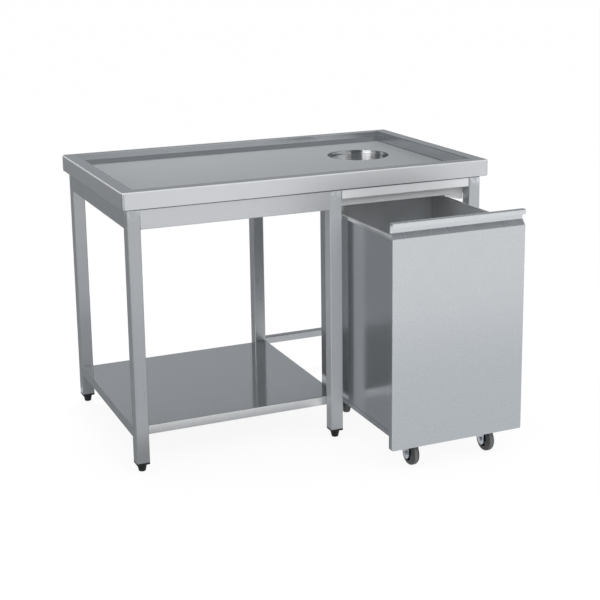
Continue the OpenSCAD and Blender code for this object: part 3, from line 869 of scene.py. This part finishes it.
@dataclass
class Worktop:
    """The folded worktop: skirt with a return, flat rim, recess with coved walls, chute hole."""

    sheet: float = 1.5 * MM
    rim: float = 44 * MM
    rear_rim: float = 20 * MM
    recess: float = 35 * MM
    skirt_return: float = 14 * MM
    return_radius: float = 2 * MM
    corner_radius: float = 10 * MM
    edge_radius: float = 3.5 * MM
    inner_edge_radius: float = 2.5 * MM
    cove: float = 14 * MM
    centred: float = 100 * MM
    hole_sides: int = 96

    def build(self) -> None:
        """Folds the worktop from a block and paints its sides, with a darker copy of its steel on
        the tray as painted shade, a lighter copy on the front and back skirt faces as painted
        light, and a painted highlight along the top front and left edges.
        """
        low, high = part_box("worktop")
        centre = (low + high) / 2
        floor = high.z - self.recess
        inner_rear = high.y - self.rear_rim
        bench = Bench.block("worktop_sheet", low, high)
        bench.open_sides(Side.BOTTOM)
        bench.pick_faces(lambda f: looks(f, Side.TOP))
        bpy.ops.mesh.inset(thickness=self.rim)
        bench.pick_edges(lambda e: lies(e, y=high.y - self.rim) and runs_along(e, Side.LEFT.way))
        bpy.ops.transform.translate(value=(0, self.rim - self.rear_rim, 0))
        bench.pick_faces(lambda f: looks(f, Side.TOP) and abs(middle(f).x - centre.x) < self.centred
                         and abs(middle(f).y - centre.y) < self.centred)
        bpy.ops.mesh.extrude_region_move(TRANSFORM_OT_translate={"value": (0, 0, -self.recess)})
        self._cut_chute_hole(bench, floor)
        bench.bend(self.cove, 1, lambda e: folds(e) and lies(e, y=inner_rear, z=floor))
        bench.bend(self.inner_edge_radius, 2, lambda e: folds(e) and lies(e, z=floor)
                   and not runs_along(e, Side.TOP.way) and middle(e).y < inner_rear - NEAR)
        bench.bend(self.corner_radius, 6, lambda e: runs_along(e, Side.TOP.way) and folds(e)
                   and self._outside(middle(e), low, high))
        bench.bend(self.edge_radius, 4, lambda e: folds(e) and lies(e, z=high.z)
                   and self._outside(middle(e), low, high))
        bench.bend(self.inner_edge_radius, 3, lambda e: folds(e) and lies(e, z=high.z))
        bench.level_return(self.skirt_return, low.z, low, high)
        bench.bend(self.return_radius, 2, lambda e: folds(e) and lies(e, z=low.z)
                   and self._outside(middle(e), low, high))
        bench.thicken(self.sheet)
        bench.finish(WORKTOP, "table", "worktop")
        half = self.rear_rim / 2
        # Painted shade: the tray floor gets a darker copy of the steel. Painted light: the front
        # and back skirt faces get a lighter one.
        bench.repaint(TRAY_PAINTED_SHADE, lambda f: looks(f, Side.TOP) and middle(f).z < floor + self.sheet)
        bench.repaint(SKIRT_PAINTED_LIGHT, lambda f: abs(f.normal.y) > SQUARE_ON
                      and not low.y + half < middle(f).y < high.y - half)
        bench.repaint(SIDE_SKIRT, lambda f: looks(f, Side.LEFT, SQUARE_ON)
                      and middle(f).x < low.x + self.rim / 2)
        # Painted highlight: the rounded top front and left edges get the much lighter copy.
        bench.repaint(EDGE_PAINTED_HIGHLIGHT, lambda f: f.normal.z > 0.15 and (
            f.normal.y < -0.2 and middle(f).y < low.y + self.edge_radius
            or f.normal.x < -0.2 and middle(f).x < low.x + self.edge_radius))

    def _outside(self, spot: Vector, low: Vector, high: Vector) -> bool:
        """Whether a spot lies on the skirt's side of the rim's middle line."""
        inset = min(self.rim, self.rear_rim) / 2
        return not (low.x + inset < spot.x < high.x - inset
                    and low.y + inset < spot.y < high.y - inset)

    def _cut_chute_hole(self, bench: Bench, floor: float) -> None:
        """Opens a round hole in the recess's floor.

        Args:
            bench: the bench with the worktop.
            floor: the floor's height.
        """
        chute_low, chute_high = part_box("chute")
        at = (chute_low + chute_high) / 2
        bench.pick_faces(lambda f: looks(f, Side.TOP) and lies(f, z=floor))
        bpy.ops.mesh.inset(thickness=2 * self.cove)
        bpy.ops.mesh.delete(type="ONLY_FACE")
        bpy.ops.mesh.primitive_circle_add(vertices=self.hole_sides, location=(at.x, at.y, floor),
                                          radius=Chute.radius + Chute.lip)
        bench.pick_edges(lambda e: lies(e, z=floor) and (e.is_wire or e.is_boundary))
        bpy.ops.mesh.fill(use_beauty=True)
        bench.weld()


@dataclass
class Chute:
    """The spun scrap chute: rolled lip, upper stage, step, lower stage with a rolled end."""

    radius: float = 104 * MM
    lip: float = 1.2 * MM
    step: float = 3 * MM
    upper: float = 14 * MM
    sheet: float = 1.5 * MM
    seat_gap: float = 0.1 * MM
    sides: int = 128

    def build(self) -> None:
        """Spins the chute and the flange that holds it under the tray."""
        low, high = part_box("chute")
        at = (low + high) / 2
        place = Matrix.Translation((at.x, at.y, high.z))
        lower, depth = self.radius - self.step, high.z - low.z
        arc = [math.radians(a) for a in range(0, 91, 15)]
        outline = [(self.radius + self.lip * (1 - math.sin(a)), -self.lip * (1 - math.cos(a)))
                   for a in arc]
        outline += [(self.radius, -self.upper + 1.6 * self.step),
                    (self.radius - 0.15 * self.step, -self.upper + 1.2 * self.step),
                    (self.radius - 0.85 * self.step, -self.upper + 0.2 * self.step),
                    (lower, -self.upper), (lower, -depth + 2 * MM), (lower + 1 * MM, -depth)]
        bench = Bench.rings("chute_spun", outline, self.sides)
        bench.weld()
        bpy.ops.mesh.flip_normals()
        bench.thicken(self.sheet)
        bench.place(place)
        finish = SpunSteel("spun_chute_steel", (0.62, 0.63, 0.64), 0.27, "polished",
                           centre=(at.x, at.y))
        bench.finish(finish, "table", "chute")
        outer, inner = (high.x - low.x) / 2, self.radius + self.sheet + self.seat_gap
        section = [(inner, -self.sheet), (outer, -self.sheet), (outer, -2 * self.sheet),
                   (inner, -2 * self.sheet), (inner, -self.sheet)]
        Bench.turned("chute_flange", section, self.sides, place).finish(finish, "table")


@dataclass
class Channel:
    """A folded channel: a web on one side and two flanges, its back and its ends open."""

    node: str
    web: Side
    finish: Finish
    sheet: float = 1.5 * MM
    radius: float = 2.5 * MM

    def build(self) -> None:
        """Folds the channel in its node's place."""
        low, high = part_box(self.node)
        along = Side.TOP.way.cross(self.web.way)
        ends = [s for s in Side if abs(s.way.dot(along)) > ALIGNED]
        bench = Bench.block(self.node + "_sheet", low, high)
        bench.open_sides(self.web.opposite, *ends)
        bench.bend(self.radius, 3, lambda e: folds(e) and runs_along(e, along))
        bench.thicken(self.sheet)
        bench.finish(self.finish, "table", self.node)


@dataclass
class BayRail:
    """The low rail over the bay: web, deep top flange and a short lower return."""

    sheet: float = 1.5 * MM
    radius: float = 2.2 * MM
    lower_return: float = 12.5 * MM

    def build(self) -> None:
        """Folds the rail."""
        low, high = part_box("bay_rail")
        bench = Bench.block("bay_rail_sheet", low, high)
        bench.open_sides(Side.BACK, Side.LEFT, Side.RIGHT)
        bench.pick_edges(lambda e: lies(e, y=high.y, z=low.z))
        bpy.ops.transform.translate(value=(0, low.y + self.lower_return - high.y, 0))
        bench.bend(self.radius, 3, lambda e: folds(e) and runs_along(e, Side.LEFT.way))
        bench.thicken(self.sheet)
        bench.finish(BAY_SHEET_PAINTED_LIGHT, "table", "bay_rail")


@dataclass
class BayKeeper:
    """The right angle under the bay's crossmember: a top leg, and a front leg cut to a slant."""

    width: float = 64 * MM
    full: float = 15 * MM
    sheet: float = 1.5 * MM
    radius: float = 2.5 * MM

    def build(self) -> None:
        """Folds the angle from the crossmember's end inwards and trims its slant."""
        low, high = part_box("bay_keeper_right")
        low.x = high.x - self.width
        bench = Bench.block("bay_keeper_right_sheet", low, high)
        bench.open_sides(Side.BACK, Side.BOTTOM, Side.LEFT, Side.RIGHT)
        start = Vector((low.x, low.y, high.z - 1.5 * self.radius))
        slant = Vector((high.x - self.full, low.y, low.z)) - start
        bench.cut(start, slant.cross(Side.FRONT.way))
        bench.bend(self.radius, 3, lambda e: folds(e) and runs_along(e, Side.LEFT.way))
        bench.thicken(self.sheet)
        bench.finish(CROSS_SHEET_PAINTED_LIGHT, "table", "bay_keeper_right")


@dataclass
class Undershelf:
    """The undershelf: flat top, flanges turned down all round and a return under them."""

    sheet: float = 1.5 * MM
    radius: float = 2.5 * MM
    lower_return: float = 10 * MM

    def build(self) -> None:
        """Folds the shelf and paints its front edge lighter, as painted light."""
        low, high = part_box("undershelf")
        bench = Bench.block("undershelf_sheet", low, high)
        bench.open_sides(Side.BOTTOM)
        bench.bend(self.radius, 3, lambda e: folds(e) and lies(e, z=high.z))
        bench.level_return(self.lower_return, low.z, low, high)
        bench.thicken(self.sheet)
        bench.finish(SHELF, "table", "undershelf")
        # Painted light: the front flange gets the lighter copy.
        bench.repaint(SHELF_EDGE_PAINTED_LIGHT, lambda f: looks(f, Side.FRONT, SQUARE_ON)
                      and middle(f).y < (low.y + high.y) / 2)


@dataclass
class LevellingFoot:
    """A tapered levelling foot: a rounded sole, a side that widens to a rim, and its stud."""

    place: str
    sole_share: float = 22 / 30
    round_off: float = 3 * MM
    shoulder: float = 23.7 * MM
    rim: float = 1.5 * MM
    chamfer: float = 1 * MM
    stud_radius: float = 5 * MM
    sides: int = 48

    def build(self) -> None:
        """Turns the foot and closes its ends."""
        node = "foot_" + self.place
        low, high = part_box(node)
        centre, top = (low + high) / 2, high.z - low.z
        wide = (high.x - low.x) / 2
        sole, rise = wide * self.sole_share, self.shoulder - self.rim
        outline = [(sole - self.round_off * (1 - math.sin(a)), self.round_off * (1 - math.cos(a)))
                   for a in (math.radians(d) for d in range(0, 91, 15))]
        outline += [(wide - 0.2 * MM, rise - 0.6 * MM), (wide, rise),
                    (wide, self.shoulder - self.chamfer), (wide - self.chamfer, self.shoulder),
                    (self.stud_radius, self.shoulder), (self.stud_radius, top - self.chamfer),
                    (self.stud_radius - self.chamfer, top)]
        bench = Bench.rings(node + "_turned", outline, self.sides)
        bench.pick_edges(lambda e: e.is_boundary)
        bpy.ops.mesh.edge_face_add()
        bench.weld()
        bench.place(Matrix.Translation((centre.x, centre.y, low.z)))
        bench.finish(PLUG_PLASTIC, node, node)


@dataclass
class ShadowBead:
    """A dark bead between the worktop's edge and the frame below it: painted shadow, standing for
    the shadow line under the skirt's edge.
    """

    width: float = 6 * MM
    height: float = 2.2 * MM
    proud: float = 0.8 * MM

    def build(self) -> None:
        """Folds a band round the frame's top and gives it the bead's width and round edges."""
        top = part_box("worktop")[0].z
        low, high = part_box("leg_front_left")[0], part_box("leg_rear_right")[1]
        bench = Bench.block(
            "worktop_seal", Vector((low.x - self.proud, low.y - self.proud, top - self.height)),
            Vector((high.x + self.proud, high.y + self.proud, top)))
        bench.open_sides(Side.TOP, Side.BOTTOM)
        bench.bend(self.width, 4, lambda e: runs_along(e, Side.TOP.way))
        bench.thicken(self.width)
        bench.round_edges(self.height / 3, 2)
        bench.finish(SHADOW_BEAD, "table")


@dataclass
class TableFrame:
    """Legs, aprons, rail, stretchers, plugs and feet."""

    nodes: dict[str, Piece]
    places: tuple[str, ...] = ("front_left", "rear_left", "front_mid", "rear_mid", "front_right",
                               "rear_right")

    def build(self) -> None:
        """Builds and dresses the frame."""
        for node, web, finish in (
                ("front_apron", Side.FRONT, LONG_SHEET), ("left_apron", Side.LEFT, DEEP_SHEET),
                ("mid_apron", Side.RIGHT, DEEP_SHEET), ("right_apron", Side.RIGHT, DEEP_SHEET),
                ("rear_apron_left", Side.BACK, LONG_SHEET),
                ("rear_apron_right", Side.BACK, LONG_SHEET),
                ("bay_crossmember", Side.FRONT, CROSS_SHEET_PAINTED_LIGHT)):
            Channel(node, web, finish).build()
        BayRail().build()
        BayKeeper().build()
        ShadowBead().build()
        for place in self.places:
            LevellingFoot(place).build()
        # The front left leg gets a darker copy of the leg steel, painted shade, and the front
        # middle leg a lighter one, painted light.
        own = {"front_left": LEFT_LEG_PAINTED_SHADE, "front_mid": MID_LEG_PAINTED_LIGHT}
        for place in self.places:
            dress(self.nodes, own.get(place, LEG_TUBE), "leg_" + place)
        dress(self.nodes, LONG_TUBE, "rear_stretcher")
        dress(self.nodes, DEEP_TUBE, "right_stretcher")
        dress(self.nodes, LONG_SHEET, "bay_keeper_left", "shelf_stiffener")
        dress(self.nodes, PLUG_PLASTIC, "leg_plugs")
        dress(self.nodes, ZINC, "shelf_screws")
        dress(self.nodes, BOARD, "backing_board")


# ---- the trolley ----


@dataclass
class WasteBin:
    """The bin's vessel: four walls, a floor with a round heel and an outward rim with a lip."""

    sheet: float = 1.2 * MM
    rim: float = 8 * MM
    lip: float = 10 * MM
    heel: float = 18 * MM
    fold: float = 2.5 * MM
    rim_fold: float = 1.6 * MM

    def build(self, nodes: dict[str, Piece]) -> None:
        """Folds the vessel and dresses the pan under it.

        Args:
            nodes: the frame's nodes.
        """
        low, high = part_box("bin_body")
        low = low + Vector((self.rim, self.rim, 0))
        high = high - Vector((self.rim, self.rim, self.sheet))
        half, centre = (high - low) / 2, (low + high) / 2
        bench = Bench.block("bin_vessel", low, high)
        bench.open_sides(Side.TOP)
        bench.bend(self.fold, 3, lambda e: runs_along(e, Side.TOP.way))
        bench.bend(self.heel, 8, lambda e: folds(e) and lies(e, y=high.y, z=low.z))
        bench.level_return(self.sheet - self.rim, high.z, low, high)
        bench.extrude(Vector((0, 0, self.sheet - self.lip)))
        bench.bend(self.rim_fold, 2, lambda e: folds(e) and lies(e, z=high.z))
        bench.thicken(self.sheet)
        dress(nodes, BIN_WALL, "bin_base")
        bench.finish(BIN_WALL, "bin", "bin_body")
        inside = half - Vector((1, 1, 1)) * (self.sheet / 2)
        rim_from = (half.x + NEAR, half.y + NEAR)
        # Painted light: the inner faces get the lighter copy.
        bench.repaint(BIN_INSIDE_PAINTED_LIGHT, lambda f: self._within(f, centre, inside)
                      and f.normal.dot(centre - middle(f)) > 0)
        # Painted highlight: the rim and its lip get the much lighter copy.
        bench.repaint(BIN_RIM_PAINTED_HIGHLIGHT, lambda f: middle(f).z > high.z - self.lip
                      and not self._within(f, centre, rim_from))

    @staticmethod
    def _within(face: bmesh.types.BMFace, centre: Vector, reach: Sequence[float]) -> bool:
        """Whether a face's middle lies within reach of a centre, along each axis given."""
        return all(abs(step) < limit for step, limit in zip(middle(face) - centre, reach))


@dataclass
class BinFront:
    """The bin's front: a panel with side and lower returns, and the grip folded from its top."""

    sheet: float = 1.5 * MM
    corner_radius: float = 5 * MM
    fold: float = 1.8 * MM
    panel_depth: float = 20 * MM
    grip_depth: float = 18 * MM
    grip_height: float = 48 * MM
    slant_height: float = 17 * MM
    lip_height: float = 15 * MM
    lip_step: float = 1 * MM
    slack: float = 0.15 * MM

    def build(self, nodes: dict[str, Piece]) -> None:
        """Folds the front and dresses the channels behind it.

        Args:
            nodes: the frame's nodes.
        """
        low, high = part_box("bin_front")
        front = low.y + self.lip_step
        edge = high.z - self.grip_height
        bench = Bench.block("bin_front_sheet", Vector((low.x, front, low.z)),
                            Vector((high.x, front + self.panel_depth, edge)))
        bench.open_sides(Side.BACK, Side.TOP)
        bench.bend(self.corner_radius, 4, lambda e: runs_along(e, Side.BACK.way) and folds(e))
        bench.bend(self.fold, 3, lambda e: folds(e) and lies(e, y=front))
        web = self.grip_depth - self.sheet
        bench.extrude(Vector((0, web, self.slant_height)),
                      lambda e: e.is_boundary and lies(e, y=front, z=edge))
        bench.extrude(Vector((0, 0, self.grip_height - self.slant_height - self.sheet
                              - self.slack)))
        bench.extrude(Vector((0, self.sheet - self.lip_step + self.slack - web, 0)))
        bench.extrude(Vector((0, 0, self.sheet - self.lip_height)))
        bench.bend(self.fold, 3, lambda e: folds(e) and runs_along(e, Side.LEFT.way)
                   and middle(e).z > edge - NEAR)
        bench.thicken(self.sheet)
        dress(nodes, PANEL, "panel_spacer_left", "panel_spacer_right")
        bench.finish(PANEL, "bin", "bin_front")
        bench.repaint(BIN_WALL, lambda f: abs(f.normal.x) > SQUARE_ON and middle(f).z < edge)
        # Painted light: the grip's front faces get the lighter copy.
        bench.repaint(GRIP_PAINTED_LIGHT, lambda f: looks(f, Side.FRONT, 0.5)
                      and middle(f).z > edge + self.slant_height)


@dataclass
class CasterFork:
    """A pressed fork: a crown over the wheel, two cheeks down to the axle and the swivel race."""

    sheet: float = 2.5 * MM
    half_width: float = 17.5 * MM
    trail: float = 28 * MM
    axle_height: float = 37.5 * MM
    crown_height: float = 92.2 * MM
    crown_bend: float = 4 * MM
    edge: float = 0.4 * MM
    lobe: float = 17 * MM
    lobe_cuts: tuple[int, ...] = (-148, -128, -109, -90, -71, -52, -32)
    race_radius: float = 21 * MM
    race_top: float = 100.2 * MM
    race_sides: int = 48
    pin_bore: float = 6.1 * MM

    def build(self, place: str, matrix: Matrix) -> None:
        """Folds, trims and bores the fork, then turns the race.

        Args:
            place: the caster's place.
            matrix: from the swivel's own frame, the floor under it, to the table's.
        """
        front = -self.trail - self.lobe
        bench = Bench.block("fork_" + place, Vector((-self.half_width, front, 0)),
                            Vector((self.half_width, self.race_radius, self.crown_height)))
        bench.open_sides(Side.BOTTOM, Side.FRONT, Side.BACK)
        self._trim(bench, front)
        bench.bend(self.crown_bend, 3, lambda e: folds(e) and lies(e, z=self.crown_height))
        bench.thicken(self.sheet)
        bench.bore(Vector((0, 0, self.crown_height)), self.pin_bore, 4 * self.sheet)
        bench.round_edges(self.edge, 1)
        bench.place(matrix)
        bench.finish(ZINC, "swivel_" + place, "caster_fork_" + place)
        radius, top, base = self.race_radius, self.race_top, self.crown_height - self.sheet
        outline = [(radius - 2 * MM, base), (radius, base + 1.5 * MM), (radius, top - 4 * MM),
                   (radius - 1.5 * MM, top - 2.5 * MM), (radius - 2 * MM, top),
                   (self.pin_bore, top), (self.pin_bore, base), (radius - 2 * MM, base)]
        Bench.turned("race_" + place, outline, self.race_sides, matrix).finish(
            ZINC, "swivel_" + place)

    def _trim(self, bench: Bench, front: float) -> None:
        """Cuts the cheeks to their outline.

        Args:
            bench: the bench with the fork on it.
            front: the cheeks' front edge.
        """
        axle = Vector((0, -self.trail, self.axle_height))
        for degrees in self.lobe_cuts:
            angle = math.radians(degrees)
            way = Vector((0, math.cos(angle), math.sin(angle)))
            bench.cut(axle + way * self.lobe, way)
        shoulder = Vector((0, front, self.axle_height + self.lobe))
        crown = Vector((0, -self.race_radius, self.crown_height))
        bench.cut(shoulder, Side.RIGHT.way.cross(crown - shoulder))


@dataclass
class Caster:
    """One swivel caster: turned tyre and hub, a pressed fork, and the plate and axle dressed."""

    place: str
    joints: dict[str, dict]
    wheel_radius: float = 37.5 * MM
    width: float = 25 * MM
    tyre: float = 10.5 * MM
    crown: float = 9 * MM
    tread: float = 3.6 * MM
    groove: float = 1.1 * MM
    bore: float = 4.05 * MM
    boss_half: float = 14.7 * MM
    sides: int = 72

    def build(self, nodes: dict[str, Piece]) -> None:
        """Turns the wheel, makes the fork and dresses the rest.

        Args:
            nodes: the frame's nodes.
        """
        spin = self.joints["wheel_" + self.place + "_spin"]
        swivel = self.joints["swivel_" + self.place + "_turn"]
        at, axis = Vector(spin["pos_m"]), Vector(spin["axis"])
        place = Matrix.Translation(at) @ axis.to_track_quat("Z", "Y").to_matrix().to_4x4()
        body = "wheel_" + self.place
        tyre = Bench.turned("tyre_" + self.place, self._tyre_outline(), self.sides, place)
        tyre.finish(TYRE, body, "caster_tyre_" + self.place)
        tyre.repaint(TREAD, lambda f: abs((middle(f) - at).dot(axis)) < self.tread + 1 * MM
                     and (middle(f) - at).length > self.wheel_radius - 2 * MM)
        hub = Bench.turned("hub_" + self.place, self._hub_outline(), self.sides, place)
        hub.finish(HUB_PLASTIC, body, "caster_hub_" + self.place)
        pivot = Matrix.Translation((swivel["pos_m"][0], swivel["pos_m"][1], 0))
        turn = Matrix.Rotation(math.atan2(axis.y, axis.x), 4, "Z")
        CasterFork().build(self.place, pivot @ turn)
        dress(nodes, ZINC, "caster_plate_" + self.place, "caster_axle_" + self.place)

    def _tyre_outline(self) -> Outline:
        """Draws crowned shoulders, and a groove on each side of the tread.

        Returns:
            The tyre's closed outline.
        """
        half, outer = self.width / 2, self.wheel_radius
        shoulder = [(outer - self.crown * (1 - math.sin(a)),
                     -self.tread - (half - self.tread) * math.cos(a))
                    for a in (math.radians(d) for d in range(0, 90, 10))]
        cut = [(outer - 0.2 * MM, -self.tread + 0.3 * MM),
               (outer - self.groove, -self.tread + 0.8 * MM),
               (outer - self.groove, -self.tread + 1.4 * MM), (outer, -self.tread + 2 * MM)]
        return closed([(outer - self.tyre, -half)] + shoulder + cut)

    def _hub_outline(self) -> Outline:
        """The hub's closed outline: the boss, a sunk disc and the rim that carries the tyre."""
        half, rim = self.width / 2, self.wheel_radius - self.tyre
        return closed([
            (self.bore, -self.boss_half), (8 * MM, -self.boss_half),
            (9 * MM, -self.boss_half + 1 * MM), (9.5 * MM, -5 * MM), (11 * MM, -4.5 * MM),
            (rim - 5 * MM, -4.5 * MM), (rim - 4 * MM, -half + 2 * MM), (rim - 3.2 * MM, -half),
            (rim, -half)])


# ---- the studio ----


@dataclass
class Card:
    """A plain card that only reflections see, as a studio's grey boards."""

    name: str
    centre: tuple[float, float, float]
    size: tuple[float, float]
    facing: tuple[float, float, float]
    tone: float
    stops: tuple[tuple[float, float], ...] = ()
    tint: Colour = (0.96, 1.0, 1.04)
    ramp_height: float = 6.0

    def build(self) -> None:
        """Sets the card up, with one tone or with tones that change with height."""
        clear_selection()
        bpy.ops.mesh.primitive_plane_add(size=1, location=self.centre)
        card = bpy.context.active_object
        card.name = self.name
        turn_to(card, Vector(self.facing))
        card.scale = (*self.size, 1)
        apply_place()
        material, graph = new_material(self.name)
        colour: Socket | tuple[float, ...] = (*self.tint, 1)
        if self.stops:
            height = graph.node("ShaderNodeSeparateXYZ", {}, {0: graph.object_place()}, 2)
            grey = graph.node("ShaderNodeValToRGB",
                              {"stops": [(z / self.ramp_height, t) for z, t in self.stops]},
                              {"Fac": height * (1 / self.ramp_height)})
            colour = graph.node("ShaderNodeVectorMath", {"operation": "MULTIPLY"},
                                {0: grey, 1: self.tint})
        graph.end(graph.node("ShaderNodeEmission", {}, {"Color": colour, "Strength": self.tone}))
        card.data.materials.append(material)
        for ray in ("camera", "diffuse", "shadow", "transmission", "volume_scatter"):
            setattr(card, "visible_" + ray, False)


@dataclass
class Studio:
    """Floor, world, lamps, grey cards and the camera."""

    floor_colour: Colour = (0.9, 0.9, 0.9)
    floor_white: float = 0.88
    floor_size: float = 120.0
    white_strength: float = 1.03
    ambient: float = 0.82
    camera_place: tuple[float, float, float] = (-1.5351, -3.6629, 1.5582)
    yaw: float = 23.169
    pitch: float = -12.392
    roll: float = -0.775
    lens: float = 77.166
    shift: float = -0.14
    sensor: float = 36.0
    far: float = 200.0
    lamp_aim: float = 0.4
    cards: list[Card] = field(default_factory=lambda: [
        Card("ceiling_card", (0.6, 0.6, 4.0), (8.0, 6.6), (0, 0, -1), 0.26),
        Card("rear_card", (5.0, 6.0, 2.7), (10.0, 5.6), (0, -1, 0), 1.0,
             ((0.0, 0.42), (1.55, 0.38), (1.8, 0.33), (2.1, 0.4), (2.6, 0.42), (2.9, 0.2),
              (5.5, 0.15))),
        Card("rear_dark_card", (-3.0, 6.0, 3.0), (6.0, 5.0), (0, -1, 0), 0.1),
        Card("left_floor_card", (-4.62, 3.7, 0.003), (8.0, 10.6), (0, 0, 1), 0.24),
        Card("rear_floor_card", (2.2, 3.0, 0.003), (5.64, 4.8), (0, 0, 1), 0.26),
        # A dark card lying under the table that only reflections see: painted shade, since the
        # floor shows mirrors white even in the table's shadow.
        Card("under_table_painted_shade_card", (-0.26, 0.05, 0.003), (0.73, 1.0), (0, 0, 1), 0.26),
        Card("front_floor_card", (0.9, -1.15, 0.003), (5.0, 1.1), (0, 0, 1), 0.72),
        Card("front_left_floor_card", (-1.55, -2.4, 0.003), (2.1, 3.4), (0, 0, 1), 0.14),
        Card("camera_card", (-1.42, -4.63, 4.2), (4.4, 6.6), (0.342, 0.94, 0), 0.02),
        Card("left_window_card", (-3.97, -2.25, 2.8), (3.06, 3.4), (0.866, 0.5, 0), 4.2,
             tint=(1, 1, 1)),
        Card("right_dark_card", (5.0, -1.0, 2.7), (8.0, 3.6), (-1, 0, 0), 0.04),
        Card("left_dark_card", (-4.2, 3.4, 2.7), (5.0, 3.6), (1, 0, 0), 0.05),
    ])

    def build(self) -> None:
        """Sets up everything round the object."""
        self._floor()
        self._world()
        for card in self.cards:
            card.build()
        self._lamp("key_lamp", (0.2, -3.8, 3.4), 3.0, 50.0)
        self._lamp("top_lamp", (0.2, 0.4, 3.6), 3.0, 12.0)
        self._lamp("rear_lamp", (-0.1, 1.1, 2.0), 0.8, 13.0)
        self._camera()
        bpy.context.scene.view_settings.view_transform = "Standard"

    def _floor(self) -> None:
        """Lays a pale floor that the camera and mirrors see as white, with the object's shadow."""
        clear_selection()
        bpy.ops.mesh.primitive_plane_add(size=self.floor_size, location=(0, 0, 0))
        floor = bpy.context.active_object
        floor.name = "studio_floor"
        material, graph = new_material("studio_floor")
        pale = graph.node("ShaderNodeBsdfDiffuse", {}, {"Color": (*self.floor_colour, 1)})
        white = graph.node("ShaderNodeEmission", {},
                           {"Color": (1, 1, 1, 1), "Strength": self.white_strength})
        seen = self._seen_rays(graph) * self.floor_white
        graph.end(graph.node("ShaderNodeMixShader", {}, {"Fac": seen, 1: pale, 2: white}))
        floor.data.materials.append(material)

    @staticmethod
    def _seen_rays(graph: Graph) -> Socket:
        """1 for rays from the camera, mirrors and glass, 0 for the rest."""
        rays = [graph.node("ShaderNodeLightPath", {}, {}, name) for name in
                ("Is Camera Ray", "Is Glossy Ray", "Is Transmission Ray")]
        return (rays[0] + rays[1] + rays[2]).clamped()

    def _world(self) -> None:
        """A white background, with a lower level for the light that it gives."""
        world = bpy.data.worlds.new("studio_world")
        world.use_nodes = True
        bpy.context.scene.world = world
        graph = Graph(world.node_tree)
        level = self._seen_rays(graph) * (1 - self.ambient) + self.ambient
        back = graph.node("ShaderNodeBackground", {}, {"Color": (1, 1, 1, 1), "Strength": level})
        graph.end(back, "ShaderNodeOutputWorld")

    def _lamp(self, name: str, place: tuple[float, float, float], size: float,
              power: float) -> None:
        """Hangs a soft lamp that looks at the object.

        Args:
            name: its name.
            place: where it hangs.
            size: its side.
            power: its power in watts.
        """
        clear_selection()
        bpy.ops.object.light_add(type="AREA", location=place)
        lamp = bpy.context.active_object
        lamp.name = name
        lamp.data.shape = "SQUARE"
        lamp.data.size = size
        lamp.data.energy = power
        turn_to(lamp, Vector(place) - Vector((0, 0, self.lamp_aim)))
        lamp.visible_glossy = lamp.visible_camera = False

    def _camera(self) -> None:
        """Sets up the camera at the photograph's angle."""
        clear_selection()
        bpy.ops.object.camera_add(location=self.camera_place)
        camera = bpy.context.active_object
        camera.name = "photo_camera"
        camera.data.sensor_width = self.sensor
        camera.data.lens = self.lens
        camera.data.shift_y = self.shift
        camera.data.clip_end = self.far
        turn = (Matrix.Rotation(math.radians(-self.yaw), 4, "Z")
                @ Matrix.Rotation(math.radians(90 + self.pitch), 4, "X")
                @ Matrix.Rotation(math.radians(self.roll), 4, "Z"))
        camera.rotation_mode = "QUATERNION"
        camera.rotation_quaternion = turn.to_quaternion()
        bpy.context.scene.camera = camera


def main() -> None:
    """Loads the frame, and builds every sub-assembly and the studio."""
    logging.basicConfig(level=logging.INFO, format="%(name)s: %(message)s")
    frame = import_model()
    nodes: dict[str, Piece] = frame["nodes"]
    joints = {j["name"]: j for j in frame["joints"]}
    Studio().build()
    Worktop().build()
    Chute().build()
    TableFrame(nodes).build()
    Undershelf().build()
    WasteBin().build(nodes)
    BinFront().build(nodes)
    for place in ("front_left", "front_right", "rear_left", "rear_right"):
        Caster(place, joints).build(nodes)
    dress(nodes, ZINC, "caster_bolts")
    clear_selection()


if __name__ == "__main__":
    main()
